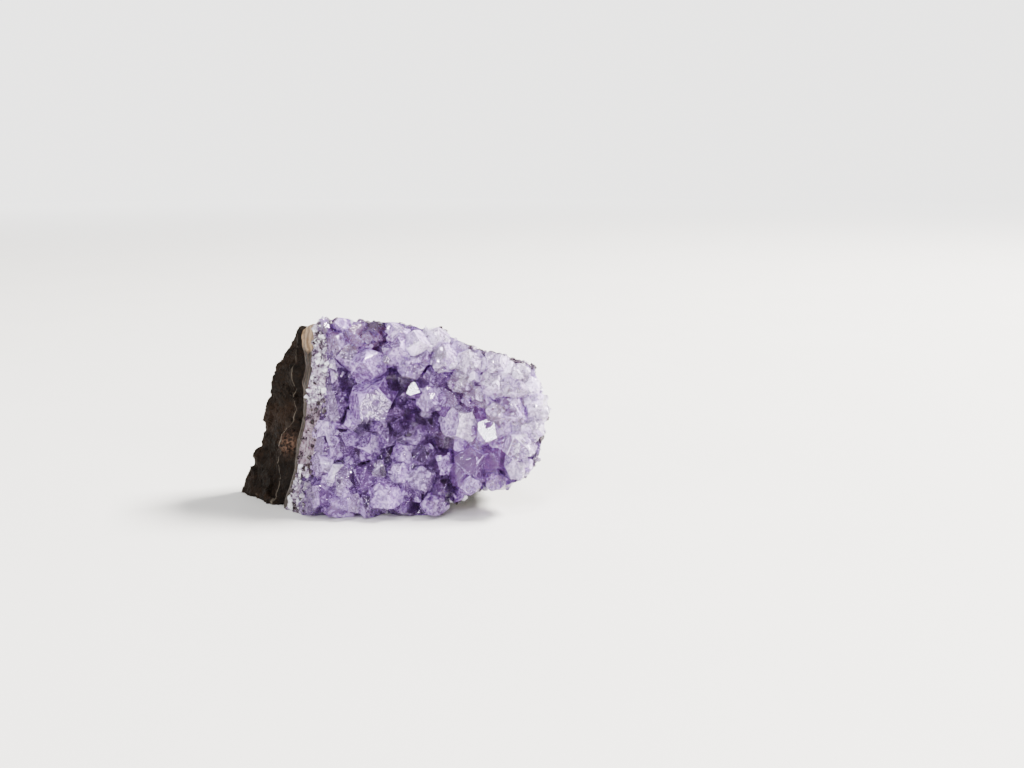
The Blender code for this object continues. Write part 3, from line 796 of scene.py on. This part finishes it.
def large_crystals(runs):
    rng, tones = random.Random(LARGE_SEED), random.Random(TONE_SEED)
    spots = POINTS + fill_points(rng)
    crystals = []
    for k, point in enumerate(spots):
        x, z, size, lean, height, spin = point[:6]
        purple, milky = point[6:] if len(point) > 6 else tone_of(x, z, tones)
        # Painted light from the upper right pales the purple and makes the point milkier.
        pale = painted_light_and_fine_grain(x, z)
        purple, milky = purple * (1.0 - 0.5 * pale), milky + 0.25 * pale
        tip = np.array([x, face_y(x, z) - height, z])
        into_rock = np.array((0.0, 1.0, -FACE_LEAN))
        root = (*into_rock, into_rock @ (x, face_y(x, z) + ROOT, z))
        trims = nearby_breaks(runs, x, z)
        mirror = mirror_plane(tip, MIRROR_FACETS[k]) if k in MIRROR_FACETS else None
        made = quartz_point(tip, (lean[0], -1.0, lean[1]), size, root, spin, trims, rng, mirror)
        if made:
            crystals.append(Crystal(made, purple, milky, tones, SMOOTH_POINTS.get(k, 0.0)))
    return crystals, spots


def skin_of(crystals):
    """A tree of the crystals' faces, and which crystal each face is of."""
    corners, faces, owners = [], [], []
    for crystal in crystals:
        add_solid(corners, faces, crystal.corners, crystal.faces)
        owners += [crystal] * len(crystal.faces)
    return BVHTree.FromPolygons(corners, faces), owners


def small_crystals(runs, large, spots):
    """Small points on whatever shows from the front: thick in the valleys, few on the large faces."""
    rng = random.Random(SMALL_SEED)
    skin, owners = skin_of(large)
    places = np.array([spot[:2] for spot in spots])
    sizes = np.array([spot[2] for spot in spots])
    crystals = []
    for _ in range(SMALL_TRIES):
        x, z = rng.uniform(*SMALL_ACROSS), rng.uniform(*SMALL_UP)
        draws = [rng.random() for _ in range(8)]
        hit, normal, face, _ = skin.ray_cast(Vector((x, -30.0, z)), Vector((0.0, 1.0, 0.0)))
        if hit is None or any(math.dist((x, z), POINTS[k][:2]) < MIRROR_CLEAR for k in MIRROR_FACETS):
            continue
        reaches = np.linalg.norm(places - (x, z), axis=1) / sizes
        closeness = reaches.min()
        edge = 0.55 + 0.1 * sizes[reaches.argmin()]
        # Painted light from the upper right pales the purple below, and small points grow thicker
        # there.
        pale = painted_light_and_fine_grain(x, z)
        wanted = smooth_step(closeness, edge, edge + 0.3) + 0.006 + 0.3 * pale
        if draws[0] > wanted:
            continue
        size = SMALL_SIZES[0] + (SMALL_SIZES[1] - SMALL_SIZES[0]) * draws[1] ** 1.8
        if closeness < 0.6:
            size *= 0.7
        right, up = spread_out(x, z, 0.3)
        axis = 0.9 * Vector((right, -1.0, up)).normalized()
        axis += 0.45 * normal
        axis += 0.45 * Vector((draws[2] - 0.5, draws[3] - 0.5, draws[4] - 0.5))
        axis.normalize()
        tip = np.array(hit + axis * size * (0.35 + 0.8 * draws[5]))
        root = (*(-axis), -(axis.dot(hit)) + SMALL_ROOT * size)
        purple, milky = owners[face].tone
        purple += 0.5 * (draws[6] - 0.4) - 0.3 * pale
        trims = [(*plane[:3], plane[3] - SMALL_TRIM_IN) for plane in nearby_breaks(runs, x, z)[1:]]
        trims.append((0.0, 0.0, -1.0, 0.0))
        made = quartz_point(tip, tuple(axis), size, root, 60.0 * draws[7], trims, rng)
        if made:
            crystals.append(Crystal(made, purple, 0.8 * milky + 0.3 * (draws[2] - 0.4), rng))
    return crystals


def apart(crystals):
    """The crystals in batches, with none that overlap in one, because a union takes no others."""
    batches = []
    for crystal in crystals:
        for batch in batches:
            lows = np.array([other.low for other in batch])
            highs = np.array([other.high for other in batch])
            if not ((lows < crystal.high) & (highs > crystal.low)).all(axis=1).any():
                batch.append(crystal)
                break
        else:
            batches.append([crystal])
    return batches


def largest_shell(shape):
    """Removes every closed shell but the largest, such as a void that points closed off."""
    shells = []
    left = set(shape.verts)
    while left:
        shell, edge = set(), {next(iter(left))}
        while edge:
            shell |= edge
            edge = {e.other_vert(v) for v in edge for e in v.link_edges} - shell
        left -= shell
        shells.append(shell)
    shells.sort(key=len)
    bmesh.ops.delete(shape, geom=[v for shell in shells[:-1] for v in shell], context="VERTS")


def object_of(crystals, looks):
    corners, faces = [], []
    values = {"purple": [], "milky": [], "plain": [], "kinds": []}
    for crystal in crystals:
        add_solid(corners, faces, crystal.corners, crystal.faces)
        for name in values:
            values[name] += getattr(crystal, name)
    obj = add_object("grown", corners, faces)
    set_faces(obj.data, looks, **values)
    return obj


def set_faces(mesh, looks, kinds, **values):
    for name, numbers in values.items():
        set_values(mesh, name, "FACE", numbers)
    for look in looks:
        mesh.materials.append(look)
    mesh.polygons.foreach_set("material_index", kinds)


def fuse(base, crystals, looks):
    """Joins the crystals to each other and to their base, as one closed solid."""
    for batch in apart(crystals):
        grown = object_of(batch, looks)
        union = base.modifiers.new("join points", "BOOLEAN")
        union.operation = "UNION"
        union.solver = "MANIFOLD"
        union.object = grown
        apply_modifiers(base)
        bpy.data.objects.remove(grown)
    shape = bmesh.new()
    shape.from_mesh(base.data)
    largest_shell(shape)
    shape.to_mesh(base.data)
    shape.free()


def crust_relief(point, _):
    return 0.5 * lumps(point, 0.6, 41.0) - 0.1


def make_crust(looks):
    depths = (crust_front, crust_back)
    points, faces = layer_skin(CRUST_AROUND, CRUST_SHARES, depths, CRUST_NEAR_SHARES, crust_relief)
    points = kept_between(points, deep=crust_back)
    base = add_object("amethyst_points", points, faces)
    in_front = CRUST_AROUND * (1 + len(CRUST_NEAR_SHARES))
    kinds = [AMETHYST_FACE if k < in_front else BROKEN_FACE for k in range(len(faces))]
    # Painted light from the upper right pales the base's purple and makes it milkier.
    pale = [painted_light_and_fine_grain(*points[face[0], ::2]) for face in faces]
    purple = [0.75 - 0.6 * share for share in pale]
    milky = [0.2 + 0.4 * share for share in pale]
    set_faces(base.data, looks, kinds, purple=purple, milky=milky, plain=[0.3] * len(faces))
    runs = break_runs()
    large, spots = large_crystals(runs)
    small = small_crystals(runs, large, spots)
    fuse(base, large + small, looks)
    at = points_of(base.data)
    set_values(base.data, "height", "POINT", face_y(at[:, 0], at[:, 2]) - at[:, 1])
    print("points:", len(large), "large", len(small), "small")
    return base


def sugar_at(x, z):
    """From 0 to 1, how white and thick the broken quartz is: on the left side it is so at both ends."""
    if x > FACE_MIDDLE[0] - 10.0:
        return OTHER_SUGAR
    upper = smooth_step(z, SUGARY_ABOVE - 2.0, SUGARY_ABOVE)
    return max(upper, 1.0 - smooth_step(z, SUGARY_BELOW, SUGARY_BELOW + 2.0))


def crumb(size, rng):
    """Corners and faces of a crumb about that large, inside random planes."""
    planes = []
    for _ in range(CRUMB_FLATS):
        away = Vector((rng.gauss(0, 1), rng.gauss(0, 1), rng.gauss(0, 1))).normalized()
        planes.append((*away, size * rng.uniform(0.55, 1.0)))
    side = away.orthogonal().normalized()
    for axis in (away, side, away.cross(side)):
        planes += [(*end, size * rng.uniform(0.7, 1.1)) for end in (axis, -axis)]
    return solid_of_planes(np.array(planes, float))[:2]


def make_crumbs(crust):
    """Crumbs of broken quartz, set into the break all round the crust."""
    rng = random.Random(CRUMB_SEED)
    points = points_of(crust.data)
    crust.data.calc_loop_triangles()
    broken = [t for t in crust.data.loop_triangles if t.material_index != AMETHYST_FACE]
    corners = points[np.array([tuple(t.vertices) for t in broken])]
    normals = np.cross(corners[:, 1] - corners[:, 0], corners[:, 2] - corners[:, 0])
    areas = np.linalg.norm(normals, axis=1)
    normals /= areas[:, None] + 1e-12
    # The back of the crust lies against the rind, and the foot on the shelf.
    hidden = (normals[:, 1] > 0.85) | (normals[:, 2] < -0.97)
    areas[hidden] = 0.0
    reach = np.cumsum(areas) / areas.sum()
    made_points, made_faces, whiteness = [], [], []
    for _ in range(CRUMB_TRIES):
        t = int(np.searchsorted(reach, rng.random()))
        a, b = sorted((rng.random(), rng.random()))
        at = corners[t][0] * a + corners[t][1] * (b - a) + corners[t][2] * (1.0 - b)
        sugar = sugar_at(at[0], at[2])
        bare = smooth_step(lumps(at, 0.55, 71.0), -0.08, 0.18)
        wanted = (0.3 + 0.7 * sugar) * (1.0 - 0.93 * bare)
        if face_y(at[0], at[2]) - at[1] > CRUMB_REACH * rng.random() ** 1.5 or rng.random() > wanted:
            continue
        size = CRUMB_SIZES[0] + (CRUMB_SIZES[1] - CRUMB_SIZES[0]) * rng.random() ** 3
        shape, faces = crumb(size, rng)
        shape = shape + at - normals[t] * size * rng.uniform(0.1, 0.5)
        shape[:, 2] = np.maximum(shape[:, 2], 0.0)
        add_solid(made_points, made_faces, shape, faces)
        whiteness += [rng.random() * (0.25 + 0.75 * sugar)] * len(faces)
    obj = add_object("broken_quartz", made_points, made_faces)
    set_values(obj.data, "whiteness", "FACE", whiteness)
    return obj


# Materials

# Colours are linear red, green and blue, and a ramp of them goes by where each one stands on it.
PURPLES = [
    (0.0, (0.86, 0.76, 0.98)),
    (0.35, (0.68, 0.49, 0.91)),
    (0.7, (0.47, 0.27, 0.71)),
    (1.0, (0.27, 0.13, 0.43)),
]
MILK = (0.86, 0.78, 0.98)
QUARTZ_IOR = 1.544
ABSORPTION_COLOUR = (0.77, 0.55, 0.92)
ABSORPTION_DENSITY = 108.0
BROKEN_TONES = [(0.40, (0.085, 0.055, 0.075)), (0.60, (0.29, 0.22, 0.32)), (0.86, (0.72, 0.67, 0.79))]
BROKEN_BROWN = (0.15, 0.09, 0.11)
CRUMB_TONES = [
    (0.24, (0.11, 0.075, 0.085)),
    (0.46, (0.27, 0.20, 0.30)),
    (0.64, (0.70, 0.65, 0.79)),
    (0.82, (0.96, 0.95, 0.99)),
]
TAN_BANDS = ((0.13, 0.078, 0.038), (0.30, 0.205, 0.118))
BROWN_BANDS = ((0.012, 0.008, 0.006), (0.050, 0.034, 0.025))
CREAM_BANDS = ((0.24, 0.17, 0.12), (0.50, 0.43, 0.35))
RIND_TOP = (0.10, 0.072, 0.050)
RIND_STAIN = (0.12, 0.08, 0.055)
ROCK_TONES = [
    (0.28, (0.004, 0.003, 0.002)),
    (0.5, (0.012, 0.0075, 0.005)),
    (0.74, (0.040, 0.027, 0.018)),
]
ROCK_BROWN = (0.044, 0.025, 0.016)
ROCK_GREY = (0.024, 0.022, 0.019)
ROCK_SMEAR = (0.12, 0.10, 0.085)
ROCK_CRYSTAL = (0.20, 0.16, 0.13)
STRIP_PAINTED_SHADE = (0.006, 0.004, 0.003)
LEDGE_PALE = (0.22, 0.195, 0.16)
FUZZ_BROWN = (0.24, 0.145, 0.105)
FLOOR_TONES = ((0.74, 0.73, 0.71), (0.78, 0.77, 0.75))


class Nodes:
    """A tree of nodes, with short ways to add and join them."""

    def __init__(self, tree):
        self.nodes, self.links = tree.nodes, tree.links

    def join(self, source, target):
        """Feeds the target from a socket, or sets its value."""
        if isinstance(source, bpy.types.NodeSocket):
            self.links.new(source, target)
        else:
            target.default_value = (*source, 1.0) if target.type == "RGBA" else source

    def node(self, kind, inputs=None, **settings):
        made = self.nodes.new(kind)
        for name, value in settings.items():
            setattr(made, name, value)
        for name, value in (inputs or {}).items():
            self.join(value, made.inputs[name])
        return made

    def math(self, operation, one, other=0.0, clamp=False):
        made = self.node("ShaderNodeMath", {0: one, 1: other}, operation=operation, use_clamp=clamp)
        return made.outputs[0]

    def plus(self, one, other, clamp=False):
        return self.math("ADD", one, other, clamp)

    def minus(self, one, other, clamp=False):
        return self.math("SUBTRACT", one, other, clamp)

    def times(self, one, other):
        return self.math("MULTIPLY", one, other)

    def vector(self, operation, one, other=None):
        inputs = {0: one}
        if other is not None:
            inputs["Scale" if operation == "SCALE" else 1] = other
        made = self.node("ShaderNodeVectorMath", inputs, operation=operation)
        return made.outputs["Value" if operation == "LENGTH" else "Vector"]

    def parts(self, vector):
        """The X, Y and Z of a vector."""
        return self.node("ShaderNodeSeparateXYZ", {0: vector}).outputs

    def ranged(self, value, low, high, to_low=0.0, to_high=1.0):
        """Goes smoothly from one number to another as the value goes from low to high."""
        inputs = {"Value": value, "From Min": low, "From Max": high}
        inputs |= {"To Min": to_low, "To Max": to_high}
        made = self.node("ShaderNodeMapRange", inputs, interpolation_type="SMOOTHSTEP")
        return made.outputs["Result"]


class Look(Nodes):
    """A material's nodes."""

    def __init__(self, name):
        self.material = bpy.data.materials.new(name)
        self.material.use_nodes = True
        super().__init__(self.material.node_tree)
        place = self.node("ShaderNodeTexCoord").outputs["Object"]
        self.place = self.vector("SCALE", place, 1.0 / MM)

    def set(self, **values):
        """Sets the shader's own sockets, such as base_color=(1, 1, 1)."""
        sockets = self.nodes["Principled BSDF"].inputs
        for name, value in values.items():
            self.join(value, sockets[name.replace("_", " ").title().replace("Ior", "IOR")])

    def attribute(self, name):
        return self.node("ShaderNodeAttribute", attribute_name=name).outputs["Fac"]

    def surface_normal(self):
        return self.node("ShaderNodeNewGeometry").outputs["Normal"]

    def noise(self, scale, detail=3.0, roughness=0.5, distortion=0.0, place=None, colour=False):
        inputs = {"Vector": place or self.place, "Scale": scale, "Detail": detail}
        inputs |= {"Roughness": roughness, "Distortion": distortion}
        return self.node("ShaderNodeTexNoise", inputs).outputs["Color" if colour else "Fac"]

    def cells(self, scale, feature="F1", output="Distance", place=None):
        inputs = {"Vector": place or self.place, "Scale": scale}
        return self.node("ShaderNodeTexVoronoi", inputs, feature=feature).outputs[output]

    def mix(self, share, one, other):
        """A mix of two colours."""
        inputs = {"Factor": share, "A": one, "B": other}
        return self.node("ShaderNodeMix", inputs, data_type="RGBA").outputs["Result"]

    def ramp(self, value, stops):
        made = self.node("ShaderNodeValToRGB", {"Fac": value})
        elements = made.color_ramp.elements
        while len(elements) < len(stops):
            elements.new(0.5)
        for element, (at, colour) in zip(elements, stops):
            element.position = at
            element.color = (*colour, 1.0)
        return made.outputs["Color"]

    def bump(self, height, distance, strength=1.0, under=None):
        """A normal bent by a height, with the distance in millimetres."""
        inputs = {"Strength": strength, "Distance": distance * MM, "Height": height}
        if under:
            inputs["Normal"] = under
        return self.node("ShaderNodeBump", inputs).outputs["Normal"]

    def glints(self, scale, tilt, under=None):
        """A normal that tips a different way in each small grain, as on sugary quartz."""
        away = self.vector("SUBTRACT", self.cells(scale, output="Color"), (0.5, 0.5, 0.5))
        away = self.vector("SCALE", away, tilt)
        return self.vector("NORMALIZE", self.vector("ADD", under or self.surface_normal(), away))


def amethyst_look():
    """Clear to milky quartz, darkened towards the root by painted shade in the gaps, with fine facets
    on all but smooth faces.
    """
    look = Look("amethyst")
    purple, milky, plain, height = map(look.attribute, ("purple", "milky", "plain", "height"))
    rough = look.minus(1.0, plain, clamp=True)
    mottle = look.noise(1.1, 4.0, 0.55, 0.6)
    clouds = look.ranged(look.plus(mottle, look.times(milky, 0.26)), 0.50, 0.90)
    warp = look.vector("SCALE", look.noise(0.8, 3.0, 0.5, colour=True), 2.2)
    cracks = look.cells(0.55, "DISTANCE_TO_EDGE", place=look.vector("ADD", look.place, warp))
    patches = look.ranged(look.noise(0.6, 2.0, 0.5), 0.52, 0.66)
    veils = look.times(look.ranged(cracks, 0.05, 0.0), patches)
    white = look.plus(clouds, look.times(veils, 0.35), clamp=True)
    # Fine pale flecks, painted sparkle that also makes the quartz milkier there, and deep flecks cover
    # what isn't smooth.
    flecks = look.noise(3.2, 4.0, 0.65, 0.8)
    painted_sparkle_flecks = look.times(look.ranged(flecks, 0.55, 0.64), rough)
    deep_flecks = look.times(look.ranged(flecks, 0.47, 0.38), rough)
    white = look.plus(white, look.times(painted_sparkle_flecks, 0.75), clamp=True)
    broad = look.minus(look.noise(0.30, 2.0, 0.5), 0.5)
    # Painted shade: the purple is darker towards the root, in the gaps between points.
    painted_gap_shade = look.ranged(height, 2.8, -0.4)
    depth = look.plus(purple, look.times(broad, 0.6))
    depth = look.plus(depth, look.times(painted_gap_shade, 0.10))
    depth = look.plus(depth, look.times(deep_flecks, 0.35), clamp=True)
    colour = look.mix(look.times(white, 0.36), look.ramp(depth, PURPLES), MILK)
    clear = look.minus(0.94, look.times(white, 0.45))
    clear = look.minus(clear, look.times(milky, 0.42), clamp=True)
    polish = look.ranged(look.noise(0.8, 4.0, 0.6), 0.35, 0.7, 0.02, 0.14)
    polish = look.times(polish, look.minus(1.15, plain))
    facets = look.glints(1.15, look.times(rough, 0.40))
    sparkling = look.times(look.ranged(look.cells(2.9, output="Color"), 0.54, 0.60), rough)
    facets = look.glints(2.9, look.times(sparkling, 1.1), under=facets)
    steps = look.noise(2.4, 4.0, 0.6, 0.6)
    normal = look.bump(steps, 0.10, look.times(rough, 0.7), under=facets)
    look.set(base_color=colour, transmission_weight=clear, roughness=polish)
    look.set(ior=QUARTZ_IOR, normal=normal)
    absorbed = {"Color": ABSORPTION_COLOUR, "Density": ABSORPTION_DENSITY}
    volume = look.node("ShaderNodeVolumeAbsorption", absorbed)
    look.join(volume.outputs[0], look.nodes["Material Output"].inputs["Volume"])
    return look.material


def broken_look():
    """Broken massive quartz, under the crumbs: brownish in the middle of the left side."""
    look = Look("broken_quartz_face")
    place = look.parts(look.place)
    left = look.ranged(place["X"], -4.0, -8.0)
    upper = look.ranged(place["Z"], SUGARY_ABOVE - 2.0, SUGARY_ABOVE)
    lower = look.ranged(place["Z"], SUGARY_BELOW + 2.0, SUGARY_BELOW)
    middle = look.minus(left, look.plus(upper, lower), clamp=True)
    mottle = look.noise(1.1, 6.0, 0.65)
    tone = look.plus(mottle, look.times(look.cells(2.2, output="Color"), 0.25))
    colour = look.mix(look.times(middle, 0.6), look.ramp(tone, BROKEN_TONES), BROKEN_BROWN)
    polish = look.ranged(mottle, 0.3, 0.7, 0.12, 0.5)
    normal = look.bump(look.noise(2.6, 5.0, 0.6), 0.35, 0.8, under=look.glints(2.4, 0.7))
    look.set(base_color=colour, roughness=polish, ior=QUARTZ_IOR, normal=normal)
    return look.material


def crumb_look():
    """Crumbs of quartz, from dark and clear to white."""
    look = Look("broken_quartz")
    whiteness = look.attribute("whiteness")
    mottle = look.noise(2.0, 5.0, 0.6)
    tone = look.plus(look.times(whiteness, 0.7), look.times(mottle, 0.4))
    polish = look.ranged(mottle, 0.3, 0.7, 0.05, 0.35)
    clear = look.ranged(whiteness, 0.2, 0.8, 0.65, 0.2)
    normal = look.bump(look.noise(4.5, 4.0, 0.6), 0.12, 0.6)
    look.set(base_color=look.ramp(tone, CRUMB_TONES), roughness=polish, normal=normal)
    look.set(ior=QUARTZ_IOR, transmission_weight=clear)
    return look.material


def chalcedony_look():
    """Fine bands along the rind: tan at the top left, dark brown below, and cream at the right."""
    look = Look("chalcedony")
    spread = look.noise(0.5, 4.0, 0.6)
    fine = look.noise(2.4, 5.0, 0.6)
    bands = look.plus(look.times(look.attribute("across"), 19.0), look.times(spread, 6.0))
    bands = look.ranged(look.math("SINE", bands), -1.0, 1.0)
    place = look.parts(look.place)
    right = look.ranged(place["X"], 8.0, 22.0)
    high = look.ranged(look.plus(place["Z"], look.times(spread, 3.0)), 34.0, 35.2)
    tan = look.mix(look.times(bands, 0.8), *TAN_BANDS)
    colour = look.mix(high, look.mix(bands, *BROWN_BANDS), tan)
    colour = look.mix(right, colour, look.mix(bands, *CREAM_BANDS))
    upward = look.ranged(look.parts(look.surface_normal())["Z"], 0.35, 0.75)
    colour = look.mix(look.times(look.times(upward, high), 0.5), colour, RIND_TOP)
    colour = look.mix(look.ranged(fine, 0.5, 0.75, 0.0, 0.5), colour, RIND_STAIN)
    polish = look.ranged(fine, 0.3, 0.7, 0.28, 0.6)
    look.set(base_color=colour, roughness=polish, ior=1.54, normal=look.bump(fine, 0.12, 0.6))
    return look.material


def basalt_look():
    """Dark basalt with brown and grey areas; on its side painted shade darkens the sunk strip, then a
    pale ledge.
    """
    look = Look("basalt")
    past_ledge = look.attribute("past_ledge")
    grain = look.noise(1.5, 8.0, 0.7)
    brown = look.ranged(look.noise(0.16, 5.0, 0.62), 0.44, 0.64)
    grey = look.ranged(look.noise(0.3, 3.0, 0.5, 0.5), 0.56, 0.66, 0.0, 0.25)
    tall = look.vector("MULTIPLY", look.place, (1.0, 1.0, 0.4))
    smears = look.ranged(look.noise(0.55, 5.0, 0.65, place=tall), 0.58, 0.72)
    smears = look.times(smears, look.ranged(grain, 0.42, 0.62))
    crystals = look.ranged(look.cells(2.6, output="Color"), 0.94, 1.0)
    # Painted shade: the sunk strip beside the rind is darkened.
    strip = look.ranged(past_ledge, 0.0, -3.0)
    strip = look.times(strip, look.ranged(look.noise(0.9, 5.0, 0.65), 0.34, 0.6, 0.9, 0.2))
    ledge = look.ranged(look.math("ABSOLUTE", past_ledge), 1.0, 0.3)
    ledge = look.times(ledge, look.ranged(look.noise(0.7, 3.0, 0.5), 0.22, 0.42))
    ledge = look.times(ledge, look.ranged(look.parts(look.place)["X"], -12.0, -15.0))
    fuzz = look.times(look.attribute("fuzz"), look.ranged(look.noise(1.6, 5.0, 0.7), 0.4, 0.6))
    colour = look.ramp(grain, ROCK_TONES)
    for share, paint in (
        (look.times(brown, 0.45), ROCK_BROWN),
        (grey, ROCK_GREY),
        (look.times(smears, 0.4), ROCK_SMEAR),
        (look.times(crystals, 0.45), ROCK_CRYSTAL),
        (strip, STRIP_PAINTED_SHADE),
        (look.times(ledge, 0.55), LEDGE_PALE),
        (look.times(fuzz, 0.8), FUZZ_BROWN),
    ):
        colour = look.mix(share, colour, paint)
    normal = look.bump(look.noise(5.0, 4.0, 0.6), 0.10, 0.6, under=look.bump(grain, 0.45, 0.9))
    look.set(base_color=colour, roughness=look.ranged(grain, 0.3, 0.7, 0.55, 0.95), normal=normal)
    look.set(ior=1.5, specular_ior_level=0.22)
    return look.material


def floor_look():
    """A pale floor that turns into the glowing sweep with its distance from the piece."""
    look = Look("floor")
    far = look.ranged(look.vector("LENGTH", look.place), SWEEP_FROM / MM, SWEEP_TO / MM)
    colour = look.mix(look.noise(0.02, 3.0, 0.5), *FLOOR_TONES)
    look.set(base_color=look.mix(far, colour, (0.0, 0.0, 0.0)), roughness=0.6)
    look.set(emission_color=SWEEP_COLOUR, emission_strength=look.times(far, SWEEP_GLOW))
    look.set(specular_ior_level=look.minus(0.5, look.times(far, 0.5)))
    return look.material


def studio_world():
    """The sweep's glow near the horizon, and the dimmer room above it."""
    world = bpy.data.worlds.new("studio")
    world.use_nodes = True
    sky = Nodes(world.node_tree)
    up = sky.parts(sky.node("ShaderNodeTexCoord").outputs["Generated"])["Z"]
    background = sky.nodes["Background"].inputs
    sky.join(SWEEP_COLOUR, background["Color"])
    sky.join(sky.ranged(up, 0.10, 0.45, SWEEP_GLOW, ABOVE_GLOW), background["Strength"])
    return world


# Camera, floor and lights


def add_camera():
    data = bpy.data.cameras.new("camera")
    data.lens = CAMERA_LENS
    data.sensor_width = SENSOR
    data.clip_start = 0.01
    camera = put_in_scene("camera", data, CAMERA_AT)
    camera.rotation_euler = (math.radians(90.0 - CAMERA_DOWN), 0.0, 0.0)
    bpy.context.scene.camera = camera


def add_light(name, at, size, watts, colour):
    data = bpy.data.lights.new(name, "AREA")
    data.shape = "RECTANGLE"
    data.size, data.size_y = size
    data.energy = watts
    data.color = colour
    toward = Vector(LIT_POINT) - Vector(at)
    light = put_in_scene(name, data, at)
    light.rotation_euler = toward.to_track_quat("-Z", "Y").to_euler()


def add_stage():
    mesh = bpy.data.meshes.new("floor")
    corners = [(x * FLOOR_HALF, y * FLOOR_HALF, 0.0) for x, y in ((-1, -1), (1, -1), (1, 1), (-1, 1))]
    mesh.from_pydata(corners, [], [(0, 1, 2, 3)])
    mesh.materials.append(floor_look())
    floor = put_in_scene("floor", mesh)
    floor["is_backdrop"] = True
    bpy.context.scene.world = studio_world()
    for name, (at, size, watts, colour) in LIGHTS.items():
        add_light(name, at, size, watts, colour)
    bpy.context.scene.view_settings.look = "AgX - Medium High Contrast"


def dress(obj, node, look=None):
    if look:
        obj.data.materials.append(look)
    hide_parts(node)
    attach(obj, "root")


def main():
    add_camera()
    add_stage()
    dress(make_basalt(), "basalt_matrix", basalt_look())
    dress(make_rind(), "chalcedony_rind", chalcedony_look())
    amethyst = amethyst_look()
    crust = make_crust((amethyst, broken_look(), amethyst))
    dress(crust, "amethyst_crust")
    crumbs = make_crumbs(crust)
    crumbs.data.materials.append(crumb_look())
    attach(crumbs, "root")
    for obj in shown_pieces():
        obj.data.calc_loop_triangles()
        print(obj.name, len(obj.data.loop_triangles), "triangles")


main()
